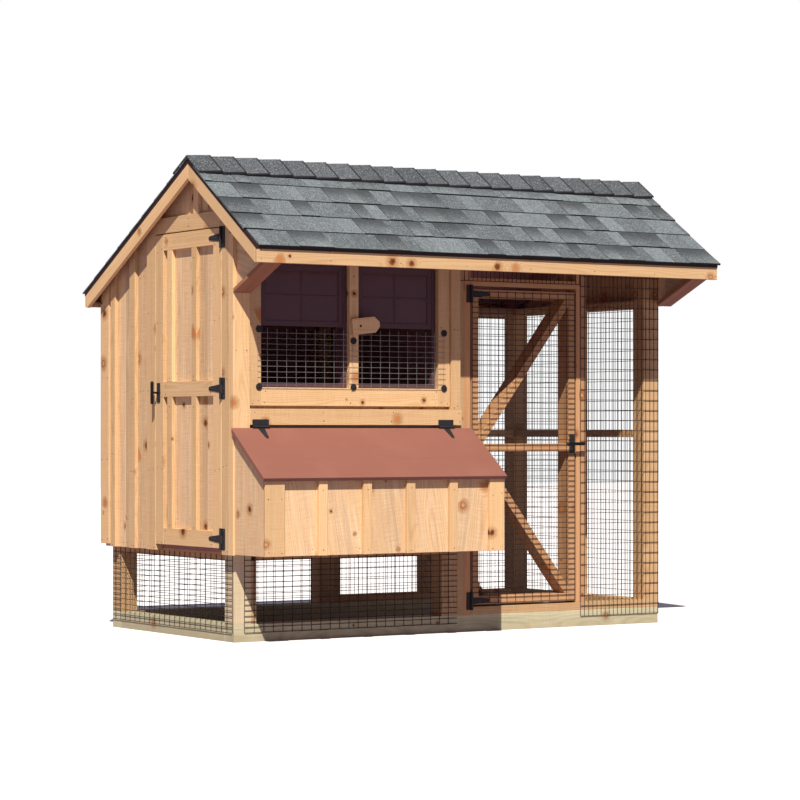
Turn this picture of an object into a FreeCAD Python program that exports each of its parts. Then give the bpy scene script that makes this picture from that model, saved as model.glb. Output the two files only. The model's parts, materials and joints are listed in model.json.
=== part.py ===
import math
import os

import FreeCAD
import Part

os.makedirs("parts", exist_ok=True)

# Chicken coop with a raised hen house on the left and a wire run on the right.
# Millimetres. The model is drawn from the front left corner of the base, X to the right
# along the front, Y to the back and Z up, and every node is moved at the end so that the
# origin is at the middle of the underside.

# Driving dimensions: the base and the timber it is built from
base_length = 2438.0
base_depth = 1219.0
skid_height = 80.0
timber = 89.0
stud = 38.0
board = 19.0
trim = 38.0
casing = 26.0
sheet = 1.0

# Driving dimensions: the roof, measured on the top line of the rafters
ridge_y = 280.0
ridge_z = 2202.0
front_slope = 0.67
back_slope = 0.534
front_eave_y = -360.0
back_eave_y = 1345.0
rake_left_x = -88.0
rake_right_x = 2526.0
fascia_height = 64.0
return_thickness = 21.0
deck = 12.0
felt = 1.5
shingle_low = 9.0
shingle_high = 4.0
shingle_exposure = 143.0
eave_overhang = 15.0
rake_overhang = 8.0
cap_side = 150.0
cap_thickness = 12.0
cap_count = 21

# Driving dimensions: heights shared by several pieces
house_bottom_z = 398.0
floor_top_z = 427.0
front_plate_top_z = 1918.0
back_plate_top_z = 1618.0
back_soffit_z = 1585.0
front_fascia_bottom_z = 1709.0
plate_top_z = skid_height + stud

# The hen house
house_x = 1222.0
partition_post_x = house_x - timber
front_face_y = -board - trim
casing_face_y = -board - casing

# The gable door
door_y0 = 54.0
door_y1 = 692.0
door_z0 = 427.0
door_z1 = 1890.0
gable_hinge_z = (470.0, 1157.0, 1846.0)
gable_latch_y = 662.0
gable_latch_z = 1144.0

gable_corner_y = 1276.0

# The window openings in the front wall
window_z0 = 1162.0
window_z1 = 1745.0
window_spans = ((115.0, 589.0), (638.0, 1084.0))
window_bar = 18.0
track_depth = 6.0
sash_y = 8.0
sash_thick = 15.0
sash_travel = 265.0

# The turn button on the mullion
turn_x = 637.0
turn_z = 1451.0
turn_y = casing_face_y - sheet - 1.0

# The nest box
nest_x0 = -30.0
nest_x1 = 1264.0
nest_front_y = -335.0
nest_bottom_z = 402.0
lid_x0 = -49.0
lid_x1 = 1266.0
lid_back_y = front_face_y - 2.0
lid_front_y = -357.0
lid_back_z = 977.0
lid_slope = 0.752
nest_hinge_x = (105.0, 1118.0)

# The pop door between house and run
pop_y0 = 138.0
pop_y1 = 402.0

# The run door
run_door_x0 = 1308.0
run_door_x1 = 1920.0
run_door_z0 = 128.0
run_door_z1 = 1645.0
run_hinge_x = 1303.0
run_hinge_z = (146.0, 1622.0)
run_latch_x = 1901.0
run_latch_z = 900.0

# Hinge and handle hardware
plate = 2.5
knuckle_r = 6.0
pin_r = 3.0
pin_play = 0.05
knuckle_gap = 0.4
lift_off = 0.4
spindle_r = 5.0
handle_bar_r = 8.0
handle_bar_length = 110.0
handle_plate_height = 92.0

# Origin: the middle of the footprint, which runs from the front to the back shingle edge
front_edge_y = front_eave_y - eave_overhang
back_edge_y = back_eave_y + eave_overhang
origin_shift = FreeCAD.Vector(-(rake_left_x + rake_right_x) / 2, -(front_edge_y + back_edge_y) / 2, 0)


def block(x0, x1, y0, y1, z0, z1):
    return Part.makeBox(x1 - x0, y1 - y0, z1 - z0, FreeCAD.Vector(x0, y0, z0))


def extrude(points, direction):
    face = Part.Face(Part.makePolygon(points + points[:1]))
    return face.extrude(direction)


def prism_x(outline, x0, x1):
    # outline of (y, z) points, run along X
    points = [FreeCAD.Vector(x0, y, z) for y, z in outline]
    return extrude(points, FreeCAD.Vector(x1 - x0, 0, 0))


def prism_y(outline, y0, y1):
    # outline of (x, z) points, run along Y
    points = [FreeCAD.Vector(x, y0, z) for x, z in outline]
    return extrude(points, FreeCAD.Vector(0, y1 - y0, 0))


def rod(x, y, z, direction, radius, length):
    return Part.makeCylinder(radius, length, FreeCAD.Vector(x, y, z), FreeCAD.Vector(*direction))


def save(name, solids):
    shape = Part.makeCompound(solids) if len(solids) > 1 else solids[0].copy()
    shape.translate(origin_shift)
    shape.exportStep("parts/" + name + ".step")


def roof_line(slope, y, lift=0.0):
    # height of a line parallel to one roof slope, raised square to it by lift
    return ridge_z - slope * abs(y - ridge_y) + lift * math.hypot(1.0, slope)


def roof_slab(slope, y_low, y_high, lift0, lift1, x0, x1, lift_high=None):
    # slab lying on one slope with plumb ends; lift_high tapers its top towards the ridge
    top_high = lift1 if lift_high is None else lift_high
    outline = [
        (y_low, roof_line(slope, y_low, lift0)),
        (y_high, roof_line(slope, y_high, lift0)),
        (y_high, roof_line(slope, y_high, top_high)),
        (y_low, roof_line(slope, y_low, lift1)),
    ]
    return prism_x(outline, x0, x1)


def wall_top(y):
    # underside of the roof deck, just clear of it
    slope = front_slope if y < ridge_y else back_slope
    return roof_line(slope, y, -1.0)


def gable_piece(y0, y1, z0, x0, x1):
    # upright board whose top follows the roof
    outline = [(y0, z0), (y1, z0), (y1, wall_top(y1))]
    if y0 < ridge_y < y1:
        outline.append((ridge_y, wall_top(ridge_y)))
    outline.append((y0, wall_top(y0)))
    return prism_x(outline, x0, x1)


def board_run(start, end, count):
    # spans of equal boards laid side by side
    width = (end - start) / count
    return [(start + i * width, start + (i + 1) * width) for i in range(count)]


# ---- base and frame ----

def skids():
    return [
        block(0, base_length, 0, timber, 0, skid_height),
        block(0, base_length, base_depth - timber, base_depth, 0, skid_height),
        block(0, timber, timber, base_depth - timber, 0, skid_height),
        block(base_length - timber, base_length, timber, base_depth - timber, 0, skid_height),
    ]


def corner_posts():
    front_z = front_plate_top_z - stud
    back_z = back_plate_top_z - stud
    posts = []
    for x in (0, partition_post_x, base_length - timber):
        posts.append(block(x, x + timber, 0, timber, skid_height, front_z))
        posts.append(block(x, x + timber, base_depth - timber, base_depth, skid_height, back_z))
    return posts


def wall_studs():
    # studs of the run, and the strip beside the front left post that the base wire is stapled to
    nailer = 28.0
    back_z = back_plate_top_z - stud
    middle_x = base_length - 7 * timber - 30
    side_y = base_depth / 2 - stud / 2
    right_x = base_length - timber
    return [
        block(house_x, house_x + stud, 0, timber, skid_height, front_plate_top_z - stud),
        block(house_x, house_x + stud, base_depth - timber, base_depth, skid_height, back_z),
        block(middle_x, middle_x + timber, base_depth - timber, base_depth, plate_top_z, back_z),
        block(right_x, base_length, side_y, side_y + stud, plate_top_z, back_z),
        block(timber, timber + nailer, 0, timber, skid_height, house_bottom_z - 28),
    ]


def run_rails():
    # bottom plates on the skids and the middle rails of the run's end and back walls
    rail_z = 932.0
    back_y = base_depth - timber
    right_x = base_length - timber
    stud_y = base_depth / 2 - stud / 2
    middle_x = base_length - 7 * timber - 30
    inner_x = house_x + 2 * stud
    return [
        block(inner_x, right_x, 0, timber, skid_height, plate_top_z),
        block(house_x + stud, right_x, back_y, base_depth, skid_height, plate_top_z),
        block(right_x, base_length, timber, back_y, skid_height, plate_top_z),
        block(right_x, base_length, timber, stud_y, rail_z, rail_z + stud),
        block(right_x, base_length, stud_y + stud, back_y, rail_z, rail_z + stud),
        block(right_x, base_length, timber, back_y, back_plate_top_z - stud, back_plate_top_z),
        block(middle_x + timber, right_x, back_y, base_depth, rail_z, rail_z + stud),
        block(house_x + stud, middle_x, back_y, base_depth, rail_z, rail_z + stud),
    ]


def top_plates():
    back_y = base_depth - timber
    return [
        block(0, base_length, 0, timber, front_plate_top_z - stud, front_plate_top_z),
        block(0, base_length, back_y, base_depth, back_plate_top_z - stud, back_plate_top_z),
    ]


def run_door_jambs():
    # left jamb, header, door stop strip and right jamb
    top_z = front_plate_top_z - stud
    strip_x = run_door_x1 + 9
    header_z = 1661.0
    left_x = house_x + stud
    return [
        block(left_x, left_x + stud, 0, timber, skid_height, top_z),
        block(left_x + stud, strip_x, 0, timber, header_z, header_z + stud),
        block(strip_x, strip_x + board, 0, timber, plate_top_z, top_z),
        block(strip_x + board, strip_x + board + stud, 0, timber, plate_top_z, top_z),
    ]


def floor_frame():
    z0 = floor_top_z - board - stud
    z1 = floor_top_z - board
    back_y = base_depth - timber
    pieces = []
    for y in (0, back_y):
        front_rim = y == 0
        start = timber + 28 if front_rim else timber
        pieces.append(block(start, partition_post_x, y, y + timber, z0, z1))
    middle_x = house_x / 2 - timber / 2
    for x in (0, middle_x, partition_post_x):
        pieces.append(block(x, x + timber, timber, back_y, z0, z1))
    return pieces


def floor_panel():
    panel = block(0, house_x - board, 0, base_depth, floor_top_z - board, floor_top_z)
    for post in corner_posts():
        panel = panel.cut(post)
    return [panel]


def house_framing():
    # 2x4 studs, sill, header and blocking inside the hen house walls
    latch_stud_y = 750.0
    plate_z = front_plate_top_z - stud
    mullion_x = (window_spans[0][1] + window_spans[1][0]) / 2 - stud / 2
    sill_z = window_z0 - stud - 2
    header_z = 985.0
    roof_clear = -timber - 1
    stud_top = roof_line(back_slope, latch_stud_y + stud, roof_clear)
    lintel_z = 1800.0
    return [
        block(timber, partition_post_x, 0, timber, sill_z, sill_z + stud),
        block(timber, partition_post_x, 0, stud, header_z, header_z + timber),
        block(mullion_x, mullion_x + stud, 0, timber, sill_z + stud, plate_z),
        block(timber, mullion_x, 0, timber, window_z1 + 2, window_z1 + 2 + stud),
        block(mullion_x + stud, partition_post_x, 0, timber, window_z1 + 2, window_z1 + 2 + stud),
        block(0, timber, latch_stud_y, latch_stud_y + stud, floor_top_z, stud_top),
        block(0, timber, timber, latch_stud_y, lintel_z, lintel_z + stud),
    ]


# ---- roof ----

def rafter_front(x):
    depth = timber * math.hypot(1.0, front_slope)
    end_y = ridge_y - board / 2
    tail_y = front_eave_y + board
    tail_z = front_fascia_bottom_z + return_thickness + 2

    def under(y):
        return roof_line(front_slope, y) - depth

    def where(z):
        return ridge_y - (ridge_z - depth - z) / front_slope

    outline = [
        (end_y, roof_line(front_slope, end_y)),
        (tail_y, roof_line(front_slope, tail_y)),
        (tail_y, tail_z),
        (where(tail_z), tail_z),
        (0, under(0)),
        (0, front_plate_top_z),
        (where(front_plate_top_z), front_plate_top_z),
        (end_y, under(end_y)),
    ]
    return prism_x(outline, x, x + stud)


def rafter_back(x):
    depth = timber * math.hypot(1.0, back_slope)
    end_y = ridge_y + board / 2
    tail_y = back_eave_y - board
    tail_z = back_soffit_z + deck

    def under(y):
        return roof_line(back_slope, y) - depth

    def where(z):
        return ridge_y + (ridge_z - depth - z) / back_slope

    outline = [
        (end_y, roof_line(back_slope, end_y)),
        (tail_y, roof_line(back_slope, tail_y)),
        (tail_y, tail_z),
        (where(tail_z), tail_z),
        (base_depth, under(base_depth)),
        (base_depth, back_plate_top_z),
        (where(back_plate_top_z), back_plate_top_z),
        (end_y, under(end_y)),
    ]
    return prism_x(outline, x, x + stud)


def rafters():
    count = 5
    spacing = (base_length - stud) / (count - 1)
    pieces = []
    for i in range(count):
        pieces.append(rafter_front(i * spacing))
        pieces.append(rafter_back(i * spacing))
    return pieces


def ridge_board():
    top = roof_line(front_slope, ridge_y - board / 2) - 2
    height = 120.0
    return [block(0, base_length, ridge_y - board / 2, ridge_y + board / 2, top - height, top)]


def roof_deck():
    return [
        roof_slab(front_slope, front_eave_y, ridge_y, 0, deck, rake_left_x, rake_right_x),
        roof_slab(back_slope, back_eave_y, ridge_y, 0, deck, rake_left_x, rake_right_x),
    ]


def drip_edges():
    metal = felt
    flange = 40.0
    skirt = -4.0
    top = deck + metal
    pieces = []
    for slope, eave_y, inward in ((front_slope, front_eave_y, 1), (back_slope, back_eave_y, -1)):
        outer = eave_y - inward * metal
        inner = eave_y + inward * flange
        outline = [
            (outer, roof_line(slope, eave_y, skirt)),
            (eave_y, roof_line(slope, eave_y, skirt)),
            (eave_y, roof_line(slope, eave_y, deck)),
            (inner, roof_line(slope, inner, deck)),
            (inner, roof_line(slope, inner, top)),
            (outer, roof_line(slope, outer, top)),
        ]
        pieces.append(prism_x(outline, rake_left_x, rake_right_x))
        for x, side in ((rake_left_x, 1), (rake_right_x, -1)):
            face_x = sorted((x, x - side * metal))
            flange_x = sorted((x, x + side * flange))
            face = roof_slab(slope, outer, ridge_y, skirt, top, face_x[0], face_x[1])
            lap = roof_slab(slope, inner, ridge_y, deck, top, flange_x[0], flange_x[1])
            pieces.append(face.fuse(lap).removeSplitter())
    return pieces


def roof_felt():
    lap = 40.0
    x0 = rake_left_x + lap
    x1 = rake_right_x - lap
    return [
        roof_slab(front_slope, front_eave_y + lap, ridge_y, deck, deck + felt, x0, x1),
        roof_slab(back_slope, back_eave_y - lap, ridge_y, deck, deck + felt, x0, x1),
    ]


def shingle_courses(slope, eave_y, direction):
    # each course is a wedge, thick at its lower edge, and the last one ends at the ridge
    step = direction * shingle_exposure / math.hypot(1.0, slope)
    bottom = deck + felt
    x0 = rake_left_x - rake_overhang
    x1 = rake_right_x + rake_overhang
    low = eave_y
    courses = []
    while (ridge_y - low) * direction > 1:
        high = low + step
        if (ridge_y - high) * direction < 20:
            high = ridge_y
        low_top = bottom + shingle_low
        high_top = bottom + shingle_high
        courses.append(roof_slab(slope, low, high, bottom, low_top, x0, x1, high_top))
        low = high
    return courses


def ridge_cap():
    x0 = rake_left_x - rake_overhang
    x1 = rake_right_x + rake_overhang
    under = deck + felt + shingle_low
    over = under + cap_thickness
    y_front = ridge_y - cap_side / math.hypot(1.0, front_slope)
    y_back = ridge_y + cap_side / math.hypot(1.0, back_slope)
    outline = [
        (y_front, roof_line(front_slope, y_front, under)),
        (ridge_y, roof_line(front_slope, ridge_y, under)),
        (y_back, roof_line(back_slope, y_back, under)),
        (y_back, roof_line(back_slope, y_back, over)),
        (ridge_y, roof_line(front_slope, ridge_y, over)),
        (y_front, roof_line(front_slope, y_front, over)),
    ]
    return [prism_x(outline, a, b) for a, b in board_run(x0, x1, cap_count)]


def rake_boards():
    pieces = []
    for x in (rake_left_x, rake_right_x - board):
        front_end = front_eave_y + board
        back_end = back_eave_y - board
        pieces.append(roof_slab(front_slope, front_end, ridge_y, -fascia_height, 0, x, x + board))
        pieces.append(roof_slab(back_slope, back_end, ridge_y, -fascia_height, 0, x, x + board))
    return pieces


def fascia_board(slope, outer_y, inner_y, bottom_z):
    outline = [
        (outer_y, bottom_z),
        (inner_y, bottom_z),
        (inner_y, roof_line(slope, inner_y)),
        (outer_y, roof_line(slope, outer_y)),
    ]
    return prism_x(outline, rake_left_x, rake_right_x)


def fascia_boards():
    return [
        fascia_board(front_slope, front_eave_y, front_eave_y + board, front_fascia_bottom_z),
        fascia_board(back_slope, back_eave_y, back_eave_y - board, back_soffit_z - 10),
    ]


def back_soffit():
    y0 = base_depth + 2 * board
    y1 = back_eave_y - board
    z0 = back_soffit_z
    soffit = block(rake_left_x + board, rake_right_x - board, y0, y1, z0, z0 + deck)
    return [soffit.cut(block(-trim - 0.5, -board, y0, gable_corner_y + 0.5, z0, z0 + deck))]


def overhang_returns():
    # sloping board that closes the underside of each end of the front overhang
    low_z = 1587.0
    thick = return_thickness
    width = 90.0
    inner_y = front_eave_y + board
    outline = [
        (front_face_y, low_z),
        (inner_y, front_fascia_bottom_z),
        (inner_y, front_fascia_bottom_z + thick),
        (front_face_y, low_z + thick),
    ]
    left = -2 * board
    right = base_length + 2 * board
    return [prism_x(outline, left, left + width), prism_x(outline, right - width, right)]


def overhang_end_caps():
    # siding that closes the triangle between each rake board, wall corner and return
    low_z = 1609.0
    inner_y = front_eave_y + board
    high_z = front_fascia_bottom_z + return_thickness + 1
    corner_z = 1862.0
    triangle = [
        (front_face_y, low_z),
        (front_face_y, wall_top(front_face_y)),
        (inner_y, wall_top(inner_y)),
        (inner_y, high_z),
    ]
    return [
        prism_x(triangle, -board, 0),
        prism_x(triangle, base_length, base_length + board),
        gable_piece(front_face_y, -board, corner_z, -board, 0),
    ]


# ---- hen house walls ----

def gable_siding():
    # upright boards of the left wall, around the door
    pieces = [gable_piece(front_face_y + trim, door_y0 - 4, house_bottom_z, -board, 0)]
    for y0, y1 in board_run(door_y1 + 4, base_depth, 3):
        pieces.append(gable_piece(y0, y1, house_bottom_z, -board, 0))
    for y0, y1 in board_run(door_y0 - 4, door_y1 + 4, 4):
        pieces.append(gable_piece(y0, y1, door_z1 + 4, -board, 0))
    return pieces


def gable_trim():
    # corner boards, battens and jamb board of the left wall, and the board above the door
    x0 = -2 * board
    x1 = -board
    head_z0 = door_z1 + 6
    head_z1 = 1970.0
    jamb_y = door_y1 + 4
    batten = 48.0
    return [
        gable_piece(front_face_y + trim, door_y0 - 4, house_bottom_z, x0, x1),
        gable_piece(jamb_y, jamb_y + timber, house_bottom_z, x0, x1),
        gable_piece(909, 909 + batten + 10, house_bottom_z, x0, x1),
        gable_piece(1121, 1121 + batten, house_bottom_z, x0, x1),
        gable_piece(gable_corner_y - timber, gable_corner_y, house_bottom_z + 13, x0, x1),
        block(x0, x1, door_y0 - 4, jamb_y, head_z0, head_z1),
        gable_piece(ridge_y - 8, ridge_y + 40, head_z1, x0, x1),
    ]


def back_siding():
    # boards and battens of the hen house's back wall
    y0 = base_depth
    pieces = []
    spans = board_run(-board, house_x, 6)
    for x0, x1 in spans:
        pieces.append(block(x0, x1, y0, y0 + board, house_bottom_z, back_soffit_z))
    batten = 48.0
    for x0, x1 in spans[1:]:
        low = x0 - batten / 2
        pieces.append(block(low, low + batten, y0 + board, y0 + 2 * board, house_bottom_z, back_soffit_z))
    for x in (-board, house_x - timber):
        pieces.append(block(x, x + timber, y0 + board, y0 + 2 * board, house_bottom_z, back_soffit_z))
    return pieces


def partition_siding():
    # inner wall between hen house and run, with the pop hole
    x0 = house_x - board
    x1 = house_x
    y0 = timber
    y1 = base_depth - timber
    hole_y0 = pop_y0 + 12
    hole_y1 = pop_y1 - 12
    hole_z1 = floor_top_z + 373
    clear = -timber - 1

    def strip(a, b, z0):
        outline = [(a, z0), (b, z0), (b, top(b))]
        if a < ridge_y < b:
            outline.append((ridge_y, top(ridge_y)))
        outline.append((a, top(a)))
        return prism_x(outline, x0, x1)

    def top(y):
        slope = front_slope if y < ridge_y else back_slope
        return min(roof_line(slope, y, clear), ridge_z - 130)

    pieces = []
    pieces.append(strip(y0, hole_y0, floor_top_z))
    for a, b in board_run(hole_y0, hole_y1, 2):
        pieces.append(strip(a, b, hole_z1))
    for a, b in board_run(hole_y1, y1, 4):
        pieces.append(strip(a, b, floor_top_z))
    return pieces


def run_gable_siding():
    # boards that close the right gable above the wire
    z0 = 1590.0
    pieces = []
    for y0, y1 in board_run(front_face_y, base_depth, 6):
        pieces.append(gable_piece(y0, y1, z0, base_length, base_length + board))
    return pieces


def front_wall_boards():
    # boards behind the trim of the front wall, left open for windows and nests
    top_z = front_plate_top_z - stud
    nest_open_z = 971.0
    left = window_spans[0]
    right = window_spans[1]
    y0 = -board
    return [
        block(0, left[0] - 6, y0, 0, house_bottom_z, top_z),
        block(right[1] + 6, house_x, y0, 0, house_bottom_z, top_z),
        block(left[0] - 6, right[1] + 6, y0, 0, nest_open_z, window_z0 - 2),
        block(left[0] - 6, right[1] + 6, y0, 0, window_z1 + 2, top_z),
        block(left[1] + 6, right[0] - 6, y0, 0, window_z0 - 2, window_z1 + 2),
    ]


def front_trim():
    # corner boards and the board that the nest lid hangs from
    top_z = 1860.0
    y0 = front_face_y
    y1 = -board
    lower_z = 1064.0
    return [
        block(-2 * board, 50, y0, y1, house_bottom_z, top_z),
        block(1151, 1203, y0, y1, lower_z, top_z),
        block(50, 1209, y0, y1, 990, lower_z),
    ]


def window_casing():
    # stiles, mullion, sill rail and head rail around the two window openings
    y0 = casing_face_y
    y1 = -board
    left = window_spans[0]
    right = window_spans[1]
    top_z = 1860.0
    low_z = 1078.0
    return [
        block(52, left[0], y0, y1, low_z, top_z),
        block(right[1], 1149, y0, y1, low_z, top_z),
        block(left[1], right[0], y0, y1, window_z0, window_z1),
        block(left[0], right[1], y0, y1, low_z, window_z0),
        block(left[0], right[1], y0, y1, window_z1, top_z),
    ]


def window_frames():
    # dark metal frame lining each opening: jambs, sill and head, and the beads either side
    # of the track that the sliding sash runs in
    y0 = -16.0
    y1 = 42.0
    jamb = window_bar - track_depth
    low = window_z0 + window_bar
    high = window_z1 - window_bar
    pieces = []
    for x0, x1 in window_spans:
        pieces.append(block(x0, x0 + jamb, y0, y1, window_z0, window_z1))
        pieces.append(block(x1 - jamb, x1, y0, y1, window_z0, window_z1))
        pieces.append(block(x0 + jamb, x1 - jamb, y0, y1, window_z0, low))
        pieces.append(block(x0 + jamb, x1 - jamb, y0, y1, high, window_z1))
        for bead_x in (x0 + jamb, x1 - window_bar):
            pieces.append(block(bead_x, bead_x + track_depth, y0, sash_y - 1, low, high))
            pieces.append(block(bead_x, bead_x + track_depth, sash_y + sash_thick + 1, y1, low, high))
    return pieces


def sash(x0, x1, y0, z0, z1):
    # glazed sash in one piece: four bars, two crossed glazing bars and the pane
    thick = sash_thick
    bar = 22.0
    glazing = 12.0
    frame = block(x0, x1, y0, y0 + thick, z0, z1)
    recess = 5.0
    middle_x = (x0 + x1) / 2
    middle_z = (z0 + z1) / 2
    for a0, a1 in ((x0 + bar, middle_x - glazing / 2), (middle_x + glazing / 2, x1 - bar)):
        for b0, b1 in ((z0 + bar, middle_z - glazing / 2), (middle_z + glazing / 2, z1 - bar)):
            frame = frame.cut(block(a0, a1, y0, y0 + recess, b0, b1))
            frame = frame.cut(block(a0, a1, y0 + thick - recess, y0 + thick, b0, b1))
    return frame


def fixed_sashes():
    low_z = window_z0 + (window_z1 - window_z0) / 2 - 8
    high_z = window_z1 - window_bar
    return [sash(x0 + window_bar, x1 - window_bar, -14, low_z, high_z) for x0, x1 in window_spans]


def sliding_sash(span):
    # drawn in its raised place, behind the fixed one, with its stiles in the tracks
    inset = window_bar - track_depth + 1
    x0, x1 = span
    low_z = window_z0 + window_bar + 1 + sash_travel
    return [sash(x0 + inset, x1 - inset, sash_y, low_z, window_z1 - window_bar - 2)]


def window_guard():
    guard = block(97, 1124, casing_face_y - sheet, casing_face_y, 1157, 1430)
    return [guard.cut(rod(turn_x, casing_face_y - sheet, turn_z, (0, 1, 0), 5, sheet))]


def guard_screws():
    # dished washers and screws that hold the wire guard
    pieces = []
    face = casing_face_y - sheet
    washer_r = 16.0
    washer_thick = 2.5
    side_x = (103.0, 1115.0)
    middle_x = 609.0
    places = [(x, z) for x in side_x for z in (1164.0, 1427.0)]
    places += [(middle_x, 1166.0), (middle_x, 1382.0)]
    for x, z in places:
        washer = rod(x, face, z, (0, -1, 0), washer_r, washer_thick)
        head = Part.makeCone(5, 3, 3, FreeCAD.Vector(x, face - washer_thick, z), FreeCAD.Vector(0, -1, 0))
        pieces.append(washer.fuse(head))
    return pieces


# ---- turn button ----

def turn_button():
    # wooden button with clipped corners at one end, that turns on one screw and sits askew
    half = 37.5
    left = turn_x - 44
    right = turn_x + 106
    clip = 26.0
    tilt = 6.0
    outline = [
        (left, turn_z - half),
        (right - clip, turn_z - half),
        (right, turn_z - half + clip),
        (right, turn_z + half - clip),
        (right - clip, turn_z + half),
        (left, turn_z + half),
    ]
    body = prism_y(outline, turn_y - board, turn_y)
    body = body.cut(rod(turn_x, turn_y - board, turn_z, (0, 1, 0), pin_r + pin_play, board))
    body.rotate(FreeCAD.Vector(turn_x, 0, turn_z), FreeCAD.Vector(0, -1, 0), tilt)
    return [body]


def turn_button_screw():
    shank_end = turn_y - board - lift_off
    length = casing_face_y - shank_end
    shank = rod(turn_x, casing_face_y, turn_z, (0, -1, 0), pin_r, length)
    head = Part.makeCone(6, 4, 3, FreeCAD.Vector(turn_x, shank_end, turn_z), FreeCAD.Vector(0, -1, 0))
    return [shank.fuse(head)]


# ---- wire ----

def base_wire():
    # welded wire around the open base under the hen house
    z0 = 42.0
    z1 = house_bottom_z - 1
    return [
        block(53, 1218, -sheet, 0, z0, z1),
        block(-sheet, 0, 14, base_depth - 10, z0, z1),
        block(10, house_x, base_depth, base_depth + sheet, z0, z1),
    ]


def run_wire():
    # fixed panels of the run: beside the door, above it, right end and back
    z0 = 50.0
    side = base_length
    back_top = back_plate_top_z - 8
    header_z = 1684.0
    panel_x = 1954.0
    wire_top_z = front_plate_top_z - 28
    return [
        block(panel_x, side, -sheet, 0, z0, wire_top_z),
        block(house_x + 16, panel_x, -sheet, 0, header_z, wire_top_z),
        block(side, side + sheet, 0, base_depth, z0, 1588),
        block(house_x, side, base_depth, base_depth + sheet, z0, back_top - 20),
    ]


# ---- nest box ----

def lid_z(y, lift=0.0):
    return lid_back_z - lid_slope * (lid_back_y - y) + lift * math.hypot(1.0, lid_slope)


def nest_front():
    y0 = nest_front_y + board
    top = lid_z(y0, -board - 1.5)
    spans = board_run(nest_x0 + board, nest_x1 - board, 5)
    return [block(a, b, y0, y0 + board, nest_bottom_z, top) for a, b in spans]


def nest_ends():
    inner = nest_front_y + board
    back = front_face_y
    clear = -board - 1.5
    outline = [
        (inner, nest_bottom_z),
        (back, nest_bottom_z),
        (back, lid_z(back, clear)),
        (inner, lid_z(inner, clear)),
    ]
    return [prism_x(outline, nest_x0, nest_x0 + board), prism_x(outline, nest_x1 - board, nest_x1)]


def nest_battens():
    # corner boards and battens on the nest box's front
    y0 = nest_front_y
    y1 = nest_front_y + board
    top = lid_z(y0, -board - 1.5)
    pieces = [
        block(nest_x0, 71, y0, y1, nest_bottom_z, top),
        block(1181, nest_x1, y0, y1, nest_bottom_z, top),
    ]
    width = 45.0
    first = 272.0
    pitch = 235.5
    for i in range(4):
        middle = first + i * pitch
        pieces.append(block(middle - width / 2, middle + width / 2, y0, y1, nest_bottom_z, top))
    return pieces


def nest_inside():
    # floor of the nest box and the upright boards between the nests
    y0 = nest_front_y + 2 * board
    z1 = nest_bottom_z + board
    floor_x = (nest_x0 + board, nest_x1 - board)
    pieces = [block(floor_x[0], floor_x[1], y0, front_face_y, nest_bottom_z, z1)]
    clear = -board - 6
    back = front_face_y - 1
    outline = [(y0, z1), (back, z1), (back, lid_z(back, clear)), (y0, lid_z(y0, clear))]
    nests = board_run(floor_x[0], floor_x[1], 4)
    for start, end in nests[1:]:
        pieces.append(prism_x(outline, start - board / 2, start + board / 2))
    return pieces


def nest_lid():
    # cut plumb where it meets the wall and square across its front edge
    length = math.hypot(1.0, lid_slope)
    square_y = lid_front_y + board * lid_slope / length
    outline = [
        (lid_back_y, lid_z(lid_back_y, -board)),
        (lid_back_y, lid_z(lid_back_y)),
        (lid_front_y, lid_z(lid_front_y)),
        (square_y, lid_z(lid_front_y) - board / length),
    ]
    return [prism_x(outline, lid_x0, lid_x1)]


# ---- hinges: a T hinge has a leaf with two knuckles, a tapered strap with one, and a pin ----
# Each is drawn with its pin along Z, the leaf to -X and the strap to +X, flat side at y = 0
# facing -Y, then turned into place.

def hinge_leaf(height, width, middle):
    leaf = block(-width, 0, -plate, 0, -height / 2, height / 2)
    axis_y = -knuckle_r - lift_off
    for z0 in (-height / 2, middle / 2):
        length = height / 2 - middle / 2
        leaf = leaf.fuse(rod(0, axis_y, z0, (0, 0, 1), knuckle_r, length))
    gap = middle / 2 + knuckle_gap
    leaf = leaf.cut(block(-knuckle_r - 1, knuckle_r, axis_y - knuckle_r, 0, -gap, gap))
    leaf = leaf.cut(rod(0, axis_y, -height, (0, 0, 1), pin_r + pin_play, 2 * height))
    return leaf


def hinge_strap(length, middle, tip):
    half = middle / 2 - knuckle_gap
    root = 1.0
    points = [(root, -half), (length - tip, -tip), (length, 0), (length - tip, tip), (root, half)]
    strap = prism_y(points, -plate, 0)
    axis_y = -knuckle_r - lift_off
    strap = strap.fuse(rod(0, axis_y, -half, (0, 0, 1), knuckle_r, 2 * half))
    return strap.cut(rod(0, axis_y, -middle, (0, 0, 1), pin_r + pin_play, 2 * middle))


def hinge_pin(height):
    # pin headed over at both ends
    axis_y = -knuckle_r - lift_off
    head = 2.0
    pin = rod(0, axis_y, -height / 2, (0, 0, 1), pin_r, height)
    for z0 in (-height / 2 - head, height / 2):
        pin = pin.fuse(rod(0, axis_y, z0, (0, 0, 1), pin_r + 1.5, head))
    return pin


def place(shape, axis_x, axis_y, origin):
    # put the drawn X and Y axes along two new directions
    x_dir = FreeCAD.Vector(*axis_x)
    y_dir = FreeCAD.Vector(*axis_y)
    z_dir = x_dir.cross(y_dir)
    matrix = FreeCAD.Matrix(
        x_dir.x, y_dir.x, z_dir.x, origin[0],
        x_dir.y, y_dir.y, z_dir.y, origin[1],
        x_dir.z, y_dir.z, z_dir.z, origin[2],
        0, 0, 0, 1,
    )
    return shape.transformGeometry(matrix)


gable_hinge_height = 96.0
run_hinge_height = 84.0
nest_hinge_height = 85.0
gable_middle = 40.0
run_middle = 34.0
nest_middle = 36.0
gable_hinge_y = door_y0 - 4.0
run_hinge_y = -sheet


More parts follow.
